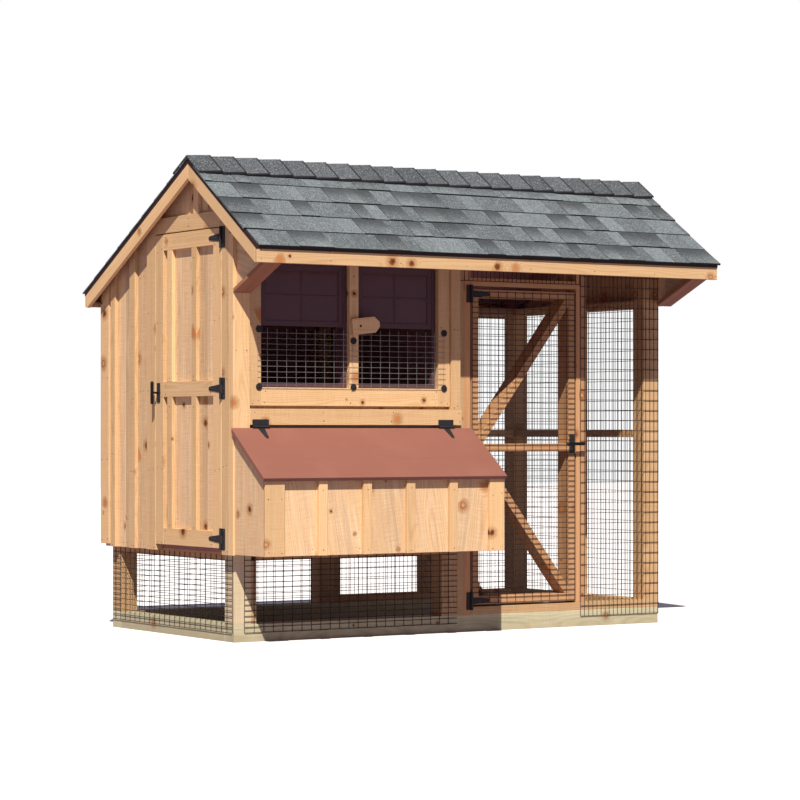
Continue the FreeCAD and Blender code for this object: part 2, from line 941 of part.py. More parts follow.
def lid_hinge_point(x):
    # pin centre of a nest lid hinge, in front of the trim and above the lid
    y = front_face_y - knuckle_r - lift_off
    return (x, y, lid_z(y, knuckle_r + lift_off))


def gable_place(shape, z):
    return place(shape, (0, 1, 0), (1, 0, 0), (-2 * board, gable_hinge_y, z))


def run_place(shape, z):
    return place(shape, (1, 0, 0), (0, 1, 0), (run_hinge_x, run_hinge_y, z))


def nest_leaf_place(shape, x):
    # leaf flat on the trim above the pin
    pin = lid_hinge_point(x)
    return place(shape, (0, 0, -1), (0, 1, 0), (x, front_face_y, pin[2]))


def nest_strap_place(shape, x):
    # strap flat on the lid, pointing down its slope
    run = math.hypot(1.0, lid_slope)
    down = (0, -1 / run, -lid_slope / run)
    into = (0, lid_slope / run, -1 / run)
    pin = lid_hinge_point(x)
    reach = knuckle_r + lift_off
    foot = (x, pin[1] + into[1] * reach, pin[2] + into[2] * reach)
    return place(shape, down, into, foot)


def hinge_leaves():
    pieces = [gable_place(hinge_leaf(gable_hinge_height, 33, gable_middle), z) for z in gable_hinge_z]
    pieces += [run_place(hinge_leaf(run_hinge_height, 28, run_middle), z) for z in run_hinge_z]
    pieces += [nest_leaf_place(hinge_leaf(nest_hinge_height, 34, nest_middle), x) for x in nest_hinge_x]
    return pieces


def hinge_pins():
    pieces = [gable_place(hinge_pin(gable_hinge_height), z) for z in gable_hinge_z]
    pieces += [run_place(hinge_pin(run_hinge_height), z) for z in run_hinge_z]
    pieces += [nest_leaf_place(hinge_pin(nest_hinge_height), x) for x in nest_hinge_x]
    return pieces


def nest_lid_straps():
    return [nest_strap_place(hinge_strap(82, nest_middle, 8), x) for x in nest_hinge_x]


# ---- T handles: plate on the door, spindle, cross bar outside and cam inside ----
# Drawn with the spindle along Y, outside towards -Y, and the bar along Z.

def handle_plate():
    half = handle_plate_height / 2
    oval = rod(0, -3, 0, (0, 1, 0), 17, 3).fuse(block(-15, 15, -3, 0, -half, half))
    return oval.cut(rod(0, -10, 0, (0, 1, 0), spindle_r + pin_play, 20))


def t_handle(reach, bar_turn):
    # spindle, round-ended bar, and cam
    bar_r = handle_bar_r
    bar_half = handle_bar_length / 2 - bar_r
    out = 36.0
    bar = rod(0, -out, -bar_half, (0, 0, 1), bar_r, 2 * bar_half)
    for z in (-bar_half, bar_half):
        bar = bar.fuse(Part.makeSphere(bar_r, FreeCAD.Vector(0, -out, z)))
    bar.rotate(FreeCAD.Vector(0, 0, 0), FreeCAD.Vector(0, 1, 0), bar_turn)
    spindle = rod(0, -out, 0, (0, 1, 0), spindle_r, out + reach).cut(bar)
    cam = block(-6, 6, reach, reach + 3, -50, 6)
    return [spindle, bar, cam]


cam_gap = 2.0
gable_reach = 2 * board + cam_gap
run_reach = timber + sheet + cam_gap


def gable_handle_place(shape):
    return place(shape, (0, -1, 0), (1, 0, 0), (-2 * board, gable_latch_y, gable_latch_z))


def run_handle_place(shape):
    return place(shape, (1, 0, 0), (0, 1, 0), (run_latch_x, run_hinge_y, run_latch_z))


def spindle_hole(place_handle):
    return place_handle(rod(0, -5, 0, (0, 1, 0), spindle_r + 1, timber + 20))


def latch_keepers():
    # plate behind each jamb that the cam turns onto
    keeper = 1.0
    gable_y = door_y1 + 5
    run_x = run_door_x1 + 10
    high = 24.0
    return [
        block(0, keeper, gable_y, gable_y + 40, gable_latch_z - high, gable_latch_z + high),
        block(run_x, run_x + 36, timber, timber + keeper, run_latch_z - high, run_latch_z + high),
    ]


# ---- gable door ----

def gable_door_boards():
    hole = spindle_hole(gable_handle_place)
    pieces = []
    for y0, y1 in board_run(door_y0, door_y1, 4):
        pieces.append(block(-board, -1, y0, y1, door_z0, door_z1).cut(hole))
    return pieces


def gable_door_trim():
    # stiles, three rails and two battens laid on the door's boards
    x0 = -2 * board
    x1 = -board
    stile_right = 130.0
    stile_left = 616.0
    hole = spindle_hole(gable_handle_place)
    rails = ((door_z0, 505.0), (1123.0, 1195.0), (1814.0, door_z1))
    pieces = [
        block(x0, x1, door_y0, stile_right, door_z0, door_z1),
        block(x0, x1, stile_left, door_y1, door_z0, door_z1).cut(hole),
    ]
    for z0, z1 in rails:
        pieces.append(block(x0, x1, stile_right, stile_left, z0, z1))
    for y in (291.0, 529.0):
        for lower, upper in zip(rails[:-1], rails[1:]):
            pieces.append(block(x0, x1, y, y + 48, lower[1], upper[0]))
    return pieces


def gable_door_hardware():
    pieces = [gable_place(hinge_strap(120, gable_middle, 9), z) for z in gable_hinge_z]
    pieces.append(gable_handle_place(handle_plate()))
    return pieces


# ---- run door ----

def brace(x0, z0, x1, z1, clip):
    # 2x4 on edge along the line between two points, trimmed to the space it stands in
    length = math.hypot(x1 - x0, z1 - z0)
    side_x = (z1 - z0) / length * stud / 2
    side_z = (x1 - x0) / length * stud / 2
    far_x = (x1 - x0) / length * 60
    far_z = (z1 - z0) / length * 60
    outline = [
        (x0 - far_x - side_x, z0 - far_z + side_z),
        (x0 - far_x + side_x, z0 - far_z - side_z),
        (x1 + far_x + side_x, z1 + far_z - side_z),
        (x1 + far_x - side_x, z1 + far_z + side_z),
    ]
    return prism_y(outline, 0, timber).common(clip)


def run_door_frame():
    rail_z = 863.0
    left_x = run_door_x0 + stud
    right_x = run_door_x1 - stud
    low_z = run_door_z0 + stud
    high_z = run_door_z1 - stud
    hole = spindle_hole(run_handle_place)
    lower_space = block(left_x, right_x, 0, timber, low_z, rail_z)
    upper_space = block(left_x, right_x, 0, timber, rail_z + stud, high_z)
    return [
        block(run_door_x0, left_x, 0, timber, run_door_z0, run_door_z1),
        block(right_x, run_door_x1, 0, timber, run_door_z0, run_door_z1).cut(hole),
        block(left_x, right_x, 0, timber, run_door_z0, low_z),
        block(left_x, right_x, 0, timber, rail_z, rail_z + stud),
        block(left_x, right_x, 0, timber, high_z, run_door_z1),
        brace(left_x, rail_z + stud, right_x, high_z, upper_space),
        brace(left_x, rail_z, right_x, low_z, lower_space),
    ]


def run_door_wire():
    panel = block(run_door_x0 + 1, run_door_x1 - 1, -sheet, 0, run_door_z0 + 6, run_door_z1 - 6)
    return [panel.cut(spindle_hole(run_handle_place))]


def run_door_hardware():
    pieces = [run_place(hinge_strap(110, run_middle, 8), z) for z in run_hinge_z]
    pieces.append(run_handle_place(handle_plate()))
    return pieces


# ---- pop door, ramp and roosts ----

def pop_door():
    # sliding panel with a finger grip
    middle = (pop_y0 + pop_y1) / 2
    panel = block(house_x + 2, house_x + 14, pop_y0, pop_y1, floor_top_z + 1, floor_top_z + 388)
    grip = block(house_x + 14, house_x + 30, middle - 20, middle + 20, 740, 756)
    return [panel, grip]


def pop_door_guides():
    # spacer and cover strips that the pop door slides in, and the sill that it lands on
    width = 22.0
    lap = 12.0
    z1 = 1210.0
    x0 = house_x
    x1 = house_x + 16
    x2 = house_x + 26
    left = pop_y0 - 1
    right = pop_y1 + 1
    return [
        block(x0, x1, left - width, left, floor_top_z, z1),
        block(x0, x1, right, right + width, floor_top_z, z1),
        block(x1, x2, left - width, left + lap, floor_top_z, z1),
        block(x1, x2, right - lap, right + width, floor_top_z, z1),
        block(x0, x2, left - width, right + width, floor_top_z - 30, floor_top_z),
    ]


def ramp():
    # plank from the pop hole's sill to the ground, with cleats across it
    x0 = house_x + 28
    z0 = floor_top_z - 4
    run = 385.0
    drop = z0 - 2 - board
    length = math.hypot(run, drop)
    y0 = pop_y0 + 8
    y1 = pop_y1 - 8
    cleat_count = 7

    def along(distance, lift):
        x = x0 + distance * run / length + lift * drop / length
        return (x, z0 - distance * drop / length + lift * run / length)

    plank = [along(0, 0), along(length, 0), along(length, -board), along(board, -board)]
    pieces = [prism_y(plank, y0, y1)]
    for i in range(cleat_count):
        start = (i + 1) * length / (cleat_count + 1)
        cleat = [along(start, 0), along(start + 20, 0), along(start + 20, 12), along(start, 12)]
        pieces.append(prism_y(cleat, y0 + 10, y1 - 10))
    return pieces


def roost_bars():
    # two perches and the cleats that hold their ends
    z0 = 880.0
    cleat_z = z0 - 40
    pieces = []
    for y in (830.0, 1010.0):
        pieces.append(block(1, house_x - board - 1, y, y + stud, z0, z0 + stud))
        for x in (0.0, house_x - board - stud):
            pieces.append(block(x, x + stud, y - 20, y + stud + 20, cleat_z, z0))
    return pieces


save("skids", skids())
save("corner_posts", corner_posts())
save("wall_studs", wall_studs())
save("run_rails", run_rails())
save("top_plates", top_plates())
save("run_door_jambs", run_door_jambs())
save("floor_frame", floor_frame())
save("floor_panel", floor_panel())
save("house_framing", house_framing())
save("rafters", rafters())
save("ridge_board", ridge_board())
save("roof_deck", roof_deck())
save("roof_felt", roof_felt())
save("drip_edges", drip_edges())
save("shingles_front", shingle_courses(front_slope, front_edge_y, 1))
save("shingles_back", shingle_courses(back_slope, back_edge_y, -1))
save("ridge_cap", ridge_cap())
save("rake_boards", rake_boards())
save("fascia_boards", fascia_boards())
save("back_soffit", back_soffit())
save("overhang_returns", overhang_returns())
save("overhang_end_caps", overhang_end_caps())
save("gable_siding", gable_siding())
save("gable_trim", gable_trim())
save("back_siding", back_siding())
save("partition_siding", partition_siding())
save("run_gable_siding", run_gable_siding())
save("front_wall_boards", front_wall_boards())
save("front_trim", front_trim())
save("window_casing", window_casing())
save("window_frames", window_frames())
save("fixed_sashes", fixed_sashes())
save("sash_left", sliding_sash(window_spans[0]))
save("sash_right", sliding_sash(window_spans[1]))
save("window_guard", window_guard())
save("wall_screws", guard_screws() + turn_button_screw())
save("turn_button", turn_button())
save("base_wire", base_wire())
save("run_wire", run_wire())
save("nest_front", nest_front())
save("nest_ends", nest_ends())
save("nest_battens", nest_battens())
save("nest_inside", nest_inside())
save("nest_lid", nest_lid())
save("nest_lid_straps", nest_lid_straps())
save("hinge_leaves", hinge_leaves())
save("hinge_pins", hinge_pins())
save("gable_door_boards", gable_door_boards())
save("gable_door_trim", gable_door_trim())
save("gable_door_hardware", gable_door_hardware())
save("gable_latch_handle", [gable_handle_place(piece) for piece in t_handle(gable_reach, 0)])
save("run_door_frame", run_door_frame())
save("run_door_wire", run_door_wire())
save("run_door_hardware", run_door_hardware())
save("run_latch_handle", [run_handle_place(piece) for piece in t_handle(run_reach, 90)])
save("latch_keepers", latch_keepers())
save("pop_door", pop_door())
save("pop_door_guides", pop_door_guides())
save("roost_bars", roost_bars())
save("ramp", ramp())
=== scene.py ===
import json
import math
import random
from functools import partial

import bmesh
import bpy
import numpy as np
from mathutils import Matrix, Vector


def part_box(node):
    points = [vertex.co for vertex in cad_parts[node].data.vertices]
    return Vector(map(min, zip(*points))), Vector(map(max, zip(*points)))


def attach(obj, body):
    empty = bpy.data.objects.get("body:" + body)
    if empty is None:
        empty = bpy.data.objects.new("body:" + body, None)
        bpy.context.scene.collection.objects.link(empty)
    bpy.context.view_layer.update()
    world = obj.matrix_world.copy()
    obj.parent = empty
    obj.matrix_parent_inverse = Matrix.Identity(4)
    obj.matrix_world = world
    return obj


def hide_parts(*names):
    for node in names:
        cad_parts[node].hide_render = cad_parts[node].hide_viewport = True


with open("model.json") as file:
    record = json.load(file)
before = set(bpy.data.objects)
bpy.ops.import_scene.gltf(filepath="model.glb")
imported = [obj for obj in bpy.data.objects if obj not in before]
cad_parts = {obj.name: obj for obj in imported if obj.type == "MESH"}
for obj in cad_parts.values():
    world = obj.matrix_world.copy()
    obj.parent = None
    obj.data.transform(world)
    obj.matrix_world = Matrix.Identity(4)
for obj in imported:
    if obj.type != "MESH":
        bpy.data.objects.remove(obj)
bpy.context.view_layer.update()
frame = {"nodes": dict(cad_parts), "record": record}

nodeBody = {node: body for body, nodes in frame["record"]["behaviour"]["bodies"].items() for node in nodes}
print("frame loaded:", len(nodeBody), "CAD nodes")


# small helpers

def mm(value):
    return value / 1000.0


def addNode(tree, kind, inputs=None, **settings):
    made = tree.nodes.new(kind)
    for key, value in settings.items():
        setattr(made, key, value)
    for key, value in (inputs or {}).items():
        if isinstance(value, bpy.types.NodeSocket):
            tree.links.new(value, made.inputs[key])
        else:
            made.inputs[key].default_value = value
    return made


def firstOut(tree, kind, inputs=None, **settings):
    return addNode(tree, kind, inputs, **settings).outputs[0]


def calc(tree, operation, first, second=0.0, third=0.0, clamp=False):
    inputs = {0: first, 1: second, 2: third}
    return addNode(tree, "ShaderNodeMath", inputs, operation=operation, use_clamp=clamp).outputs[0]


def rampUp(tree, value, low, high):
    # 0 below low, 1 above high, smooth between them
    inputs = {"Value": value, "From Min": low, "From Max": high, "To Min": 0.0, "To Max": 1.0}
    return addNode(tree, "ShaderNodeMapRange", inputs, interpolation_type="SMOOTHSTEP").outputs["Result"]


def joinXYZ(tree, x, y, z):
    return addNode(tree, "ShaderNodeCombineXYZ", {"X": x, "Y": y, "Z": z}).outputs["Vector"]


def mixColour(tree, amount, first, second, blend="MIX"):
    made = addNode(tree, "ShaderNodeMix", data_type="RGBA", blend_type=blend, clamp_factor=True)
    for index, value in ((0, amount), (6, first), (7, second)):
        if isinstance(value, bpy.types.NodeSocket):
            tree.links.new(value, made.inputs[index])
        else:
            made.inputs[index].default_value = value
    return made.outputs[2]


def noiseAt(tree, vector, scale, detail=2.0, rough=0.5):
    inputs = {"Vector": vector, "Scale": scale, "Detail": detail, "Roughness": rough}
    return addNode(tree, "ShaderNodeTexNoise", inputs).outputs[0]


def makeGroup(name, inputs, outputs, kind="ShaderNodeTree"):
    group = bpy.data.node_groups.new(name, kind)
    for label, socketType, value in inputs:
        socket = group.interface.new_socket(name=label, in_out="INPUT", socket_type=socketType)
        if value is not None:
            socket.default_value = value
    for label, socketType in outputs:
        group.interface.new_socket(name=label, in_out="OUTPUT", socket_type=socketType)
    given, out = group.nodes.new("NodeGroupInput").outputs, group.nodes.new("NodeGroupOutput").inputs
    return group, given, out, partial(firstOut, group), partial(calc, group)


def makeGeometryGroup(name, inputs):
    inputs = inputs + [("Material", "NodeSocketMaterial", None)]
    return makeGroup(name, inputs, [("Geometry", geometryKind)], "GeometryNodeTree")


def colour(red, green, blue):
    return (red, green, blue, 1.0)


floatKind = "NodeSocketFloat"
vectorKind = "NodeSocketVector"
colourKind = "NodeSocketColor"
geometryKind = "NodeSocketGeometry"
integerKind = "NodeSocketInt"


# shared shader groups; lengths here are in metres, and scales in repeats per metre

knotSettings = dict(scale=8.5, smallest=0.035, spread=0.15, ragged=0.14, inset=-0.07, halo=2.6,
                    ringedAbove=0.40, orangeAbove=0.82)
ringSettings = dict(wanderScale=1.3, wanderAcross=0.11, wanderDeep=0.05, bendAtKnot=0.16, share=0.45)
fibreSettings = dict(alongScale=9.0, scale=420.0, contrast=1.5, centre=-0.70)
streakSettings = dict(alongScale=1.1, scale=26.0, low=0.45, high=0.75)
bleachSettings = dict(alongScale=3.2, scale=70.0, low=0.52, high=0.70, share=0.75)
sawSettings = dict(alongScale=260.0, scale=9.0, contrast=1.3)


def stretchedPlace(tree, along, across, deep, look):
    # a place squeezed along the board, so that noise read there runs with the grain
    return joinXYZ(tree, calc(tree, "MULTIPLY", along, look["alongScale"]),
                   calc(tree, "MULTIPLY", across, look["scale"]), calc(tree, "MULTIPLY", deep, look["scale"]))


def buildGrainGroup():
    # pine boards: growth rings, fibres, knots that the rings bend round, saw marks
    group, given, out, make, do = makeGroup("pineGrain", [
        ("Along Across Deep", vectorKind, None),
        ("Board", floatKind, 0.5),
        ("Early Wood", colourKind, colour(0.62, 0.40, 0.20)),
        ("Late Wood", colourKind, colour(0.40, 0.20, 0.08)),
        ("Knot", colourKind, colour(0.22, 0.07, 0.02)),
        ("Ring Width", floatKind, 0.007),
        ("Knot Amount", floatKind, 0.2),
        ("Saw Marks", floatKind, 0.3),
        ("Grey", floatKind, 0.25),
    ], [("Color", colourKind), ("Roughness", floatKind), ("Height", floatKind)])
    place = addNode(group, "ShaderNodeSeparateXYZ", {0: given["Along Across Deep"]}).outputs
    along, across, deep = place[0], place[1], place[2]
    board = given["Board"]
    shiftAlong = do("MULTIPLY_ADD", board, 37.0, along)
    shiftAcross = do("MULTIPLY_ADD", board, 11.0, across)

    # knots sit in some cells of a cell pattern, each with its own size
    knotPlace = joinXYZ(group, shiftAlong, do("ADD", shiftAcross, deep), 0.0)
    knotPlace = {0: knotPlace, "Scale": knotSettings["scale"]}
    knotPlace = make("ShaderNodeVectorMath", knotPlace, operation="SCALE")
    cells = {"Vector": knotPlace, "Scale": 1.0, "Randomness": 0.95}
    cells = addNode(group, "ShaderNodeTexVoronoi", cells, voronoi_dimensions="2D")
    cellColour = addNode(group, "ShaderNodeSeparateXYZ", {0: cells.outputs["Color"]}).outputs
    ragged = noiseAt(group, knotPlace, 7.0)
    size = do("MULTIPLY_ADD", do("POWER", cellColour[0], 1.6), knotSettings["spread"], knotSettings["smallest"])
    edge = do("ADD", cells.outputs["Distance"], knotSettings["inset"])
    edge = do("MULTIPLY_ADD", ragged, knotSettings["ragged"], edge)
    near = do("DIVIDE", edge, size)
    hasKnot = do("GREATER_THAN", cellColour[1], do("SUBTRACT", 1.0, given["Knot Amount"]))
    knotMask = do("MULTIPLY", hasKnot, do("SUBTRACT", 1.0, rampUp(group, near, 0.75, 1.05)))
    haloMask = do("MULTIPLY", hasKnot, do("SUBTRACT", 1.0, rampUp(group, near, 1.0, knotSettings["halo"])))
    bend = do("POWER", 2.718, do("MULTIPLY", do("POWER", near, 2.0), -0.22))
    bend = do("MULTIPLY", do("MULTIPLY", bend, hasKnot), size)

    # growth rings round a pith that wanders beside the board
    drift = do("MULTIPLY", shiftAlong, ringSettings["wanderScale"])
    drift = joinXYZ(group, drift, do("MULTIPLY", board, 19.0), 0.0)
    wander = do("SUBTRACT", noiseAt(group, drift, 1.0, 1.5), 0.5)
    pithSide = do("MULTIPLY_ADD", do("FRACT", do("MULTIPLY", board, 7.13)), 0.14, -0.07)
    pithDeep = do("MULTIPLY_ADD", do("FRACT", do("MULTIPLY", board, 3.71)), 0.08, 0.02)
    side = do("ADD", across, do("MULTIPLY_ADD", wander, ringSettings["wanderAcross"], pithSide))
    below = do("ADD", deep, do("MULTIPLY_ADD", wander, ringSettings["wanderDeep"], pithDeep))
    radius = do("SQRT", do("ADD", do("POWER", side, 2.0), do("POWER", below, 2.0)))
    radius = do("MULTIPLY_ADD", bend, ringSettings["bendAtKnot"], radius)
    ring = do("DIVIDE", do("MULTIPLY", radius, 2 * math.pi), given["Ring Width"])
    ring = do("POWER", do("MULTIPLY_ADD", do("SINE", ring), 0.5, 0.5), 2.0)

    # fine fibres, broad streaks and band-saw marks
    fibrePlace = stretchedPlace(group, shiftAlong, shiftAcross, deep, fibreSettings)
    fibre = noiseAt(group, fibrePlace, 1.0, 3.0, 0.65)
    streakPlace = stretchedPlace(group, shiftAlong, shiftAcross, deep, streakSettings)
    streak = noiseAt(group, streakPlace, 1.0, 3.0, 0.6)
    sawPlace = stretchedPlace(group, shiftAlong, shiftAcross, 0.0, sawSettings)
    saw = noiseAt(group, sawPlace, 1.0, 2.0, 0.6)

    late = do("MULTIPLY_ADD", fibre, fibreSettings["contrast"], fibreSettings["centre"])
    late = do("MULTIPLY_ADD", ring, ringSettings["share"], late, clamp=True)
    wood = mixColour(group, late, given["Early Wood"], given["Late Wood"])
    greyed = mixColour(group, 0.75, wood, colour(0.34, 0.27, 0.20))
    greyAmount = rampUp(group, streak, streakSettings["low"], streakSettings["high"])
    greyAmount = do("MULTIPLY", greyAmount, given["Grey"])
    wood = mixColour(group, greyAmount, wood, greyed)
    bleachPlace = stretchedPlace(group, shiftAlong, shiftAcross, deep, bleachSettings)
    bleached = noiseAt(group, bleachPlace, 1.0, 4.0, 0.65)
    bleached = rampUp(group, bleached, bleachSettings["low"], bleachSettings["high"])
    bleached = do("MULTIPLY", bleached, do("MULTIPLY", given["Grey"], bleachSettings["share"]))
    wood = mixColour(group, bleached, wood, colour(0.84, 0.69, 0.46))
    tone = do("MULTIPLY_ADD", do("FRACT", do("MULTIPLY", board, 5.37)), 0.24, 0.74)
    tone = do("ADD", tone, do("MULTIPLY_ADD", streak, 0.50, -0.18))
    sawTone = do("MULTIPLY", given["Saw Marks"], sawSettings["contrast"])
    tone = do("ADD", tone, do("MULTIPLY", do("SUBTRACT", saw, 0.5), sawTone))
    toned = make("ShaderNodeVectorMath", {0: wood, "Scale": tone}, operation="SCALE")
    haloTone = mixColour(group, 0.5, given["Late Wood"], given["Knot"])
    haloMask = do("MULTIPLY", haloMask, do("MULTIPLY_ADD", fibre, 1.5, 0.0), clamp=True)
    haloed = mixColour(group, haloMask, toned, haloTone)
    # three kinds of knot: dark, pale with a brown ring, and orange
    dark = mixColour(group, rampUp(group, near, 0.05, 0.75), colour(0.07, 0.025, 0.012), given["Knot"])
    ringed = rampUp(group, near, 0.25, 0.80)
    ringed = mixColour(group, ringed, colour(0.58, 0.33, 0.15), colour(0.33, 0.12, 0.045))
    isRinged = do("GREATER_THAN", cellColour[2], knotSettings["ringedAbove"])
    isOrange = do("GREATER_THAN", cellColour[2], knotSettings["orangeAbove"])
    knotColour = mixColour(group, isOrange, mixColour(group, isRinged, dark, ringed), colour(0.53, 0.21, 0.07))
    knotted = mixColour(group, knotMask, haloed, knotColour)
    height = do("MULTIPLY_ADD", saw, given["Saw Marks"], do("MULTIPLY", fibre, 0.5))
    group.links.new(knotted, out["Color"])
    group.links.new(do("MULTIPLY_ADD", fibre, 0.2, 0.55), out["Roughness"])
    group.links.new(do("MULTIPLY_ADD", ring, 0.15, height), out["Height"])
    return group


def buildEdgeWearAndShadeGroup():
    # 1 on sharp outside edges, broken up by noise
    group, given, out, make, do = makeGroup("edgeWearAndShade", [
        ("Radius", floatKind, 0.002),
        ("Patchiness", floatKind, 60.0),
        ("Amount", floatKind, 1.0),
    ], [("Mask", floatKind)])
    rounded = make("ShaderNodeBevel", {"Radius": given["Radius"]}, samples=4)
    sharp = addNode(group, "ShaderNodeNewGeometry").outputs["Normal"]
    facing = addNode(group, "ShaderNodeVectorMath", {0: rounded, 1: sharp}, operation="DOT_PRODUCT")
    facing = facing.outputs["Value"]
    edgeMark = do("SUBTRACT", 1.0, rampUp(group, facing, 0.80, 0.995))
    place = addNode(group, "ShaderNodeTexCoord").outputs["Object"]
    patchy = rampUp(group, noiseAt(group, place, given["Patchiness"], 3.0), 0.42, 0.62)
    mask = do("MULTIPLY", do("MULTIPLY", edgeMark, patchy), given["Amount"], clamp=True)
    group.links.new(mask, out["Mask"])
    return group


def buildGroundDirtGroup():
    # splashed soil near the ground that fades upwards
    group, given, out, make, do = makeGroup("groundDirt", [
        ("Height", floatKind, 0.10),
        ("Amount", floatKind, 0.3),
    ], [("Mask", floatKind)])
    place = addNode(group, "ShaderNodeTexCoord").outputs["Object"]
    level = addNode(group, "ShaderNodeSeparateXYZ", {0: place}).outputs[2]
    broken = do("MULTIPLY_ADD", noiseAt(group, place, 14.0, 4.0, 0.6), 0.14, -0.07)
    low = rampUp(group, do("ADD", level, broken), 0.0, given["Height"])
    mask = do("MULTIPLY", do("SUBTRACT", 1.0, low), given["Amount"], clamp=True)
    group.links.new(mask, out["Mask"])
    return group


grainGroup = buildGrainGroup()
edgeWearAndShadeGroup = buildEdgeWearAndShadeGroup()
groundDirtGroup = buildGroundDirtGroup()


# materials

def newMaterial(name):
    made = bpy.data.materials.new(name)
    made.use_nodes = True
    tree = made.node_tree
    return made, tree, tree.nodes["Principled BSDF"]


def attribute(tree, name, output):
    return addNode(tree, "ShaderNodeAttribute", attribute_name=name).outputs[output]


def useGroup(tree, group, values=None):
    return addNode(tree, "ShaderNodeGroup", values, node_tree=group).outputs


def addBump(tree, shader, height, distance, strength):
    bump = addNode(tree, "ShaderNodeBump", {"Height": height, "Distance": distance, "Strength": strength})
    tree.links.new(bump.outputs[0], shader.inputs["Normal"])


woodLooks = {
    "gableBoards": dict(early=(0.81, 0.56, 0.32), late=(0.59, 0.34, 0.155), knots=0.30, saw=0.35, grey=0.80),
    "battens": dict(early=(0.83, 0.56, 0.29), late=(0.64, 0.36, 0.155), knots=0.22, saw=0.20, grey=0.30),
    "framing": dict(early=(0.64, 0.36, 0.17), late=(0.44, 0.19, 0.08), knots=0.14, saw=0.15, grey=0.20),
    "posts": dict(early=(0.66, 0.43, 0.22), late=(0.44, 0.23, 0.095), knots=0.18, saw=0.30, grey=0.30),
    "paleFir": dict(early=(0.84, 0.72, 0.48), late=(0.62, 0.46, 0.25), knots=0.16, saw=0.25, grey=0.20),
    "treated": dict(early=(0.74, 0.70, 0.46), late=(0.52, 0.49, 0.28), knots=0.16, saw=0.30, grey=0.35),
    # painted shade: dark red-brown plywood for the boards under the roof
    "sheathing": dict(early=(0.36, 0.20, 0.13), late=(0.27, 0.13, 0.08), knots=0.20, saw=0.10, grey=0.25),
    # painted shade: dark maroon pine for the inside of the coop and the underside of the roof
    "innerPaintedShade": dict(early=(0.42, 0.205, 0.185), late=(0.31, 0.14, 0.125), knots=0.10, saw=0.10, grey=0.0),
    # painted shade: dark red-brown trim wood for the shaded overhang returns
    "returnPaintedShade": dict(early=(0.40, 0.19, 0.11), late=(0.27, 0.11, 0.06), knots=0.15, saw=0.15, grey=0.0),
}


groundWoods = ("treated", "posts", "paleFir")     # these stand on the ground, so soil splashes them


def woodMaterial(name):
    look = woodLooks[name]
    made, tree, shader = newMaterial(name)
    grain = useGroup(tree, grainGroup, {
        "Along Across Deep": attribute(tree, "grain", "Vector"), "Board": attribute(tree, "board", "Fac"),
        "Early Wood": colour(*look["early"]), "Late Wood": colour(*look["late"]),
        "Knot Amount": look["knots"], "Saw Marks": look["saw"], "Grey": look["grey"]})
    surface = grain["Color"]
    if name in groundWoods:
        surface = mixColour(tree, useGroup(tree, groundDirtGroup)["Mask"], surface, colour(0.20, 0.14, 0.08))
    tree.links.new(surface, shader.inputs["Base Color"])
    tree.links.new(grain["Roughness"], shader.inputs["Roughness"])
    addBump(tree, shader, grain["Height"], 0.0012, 0.5)
    shader.inputs["Specular IOR Level"].default_value = 0.25
    return made


def lidMaterial():
    made, tree, shader = newMaterial("lidPaint")
    place = addNode(tree, "ShaderNodeTexCoord").outputs["Object"]
    long = addNode(tree, "ShaderNodeMapping", {"Vector": place, "Scale": (3.0, 60.0, 60.0)}).outputs[0]
    strokes = noiseAt(tree, long, 1.0, 3.0, 0.6)
    cloudy = noiseAt(tree, place, 5.0, 3.0)
    paint = mixColour(tree, strokes, colour(0.242, 0.093, 0.065), colour(0.268, 0.106, 0.076))
    paint = mixColour(tree, rampUp(tree, cloudy, 0.45, 0.75), paint, colour(0.272, 0.110, 0.078))
    # the edges are partly real wear and partly painted shade: a dark colour along the lid's edges
    edgeMark = useGroup(tree, edgeWearAndShadeGroup, {"Radius": 0.003, "Amount": 0.5})["Mask"]
    tree.links.new(mixColour(tree, edgeMark, paint, colour(0.17, 0.065, 0.045)), shader.inputs["Base Color"])
    tree.links.new(calc(tree, "MULTIPLY_ADD", strokes, 0.2, 0.5), shader.inputs["Roughness"])
    addBump(tree, shader, strokes, 0.0006, 0.35)
    return made


def metalMaterial(name, base, edgeMark, rough, metallic, wearAmount):
    made, tree, shader = newMaterial(name)
    place = addNode(tree, "ShaderNodeTexCoord").outputs["Object"]
    cloudy = noiseAt(tree, place, 35.0, 4.0, 0.6)
    shade = [channel * 1.5 for channel in base]
    skin = mixColour(tree, cloudy, colour(*base), colour(*shade))
    wear = useGroup(tree, edgeWearAndShadeGroup, {"Radius": 0.0012, "Patchiness": 120.0, "Amount": wearAmount})["Mask"]
    tree.links.new(mixColour(tree, wear, skin, colour(*edgeMark)), shader.inputs["Base Color"])
    tree.links.new(calc(tree, "MULTIPLY_ADD", cloudy, 0.25, rough), shader.inputs["Roughness"])
    shader.inputs["Metallic"].default_value = metallic
    addBump(tree, shader, noiseAt(tree, place, 900.0, 2.0), 0.0002, 0.3)
    return made


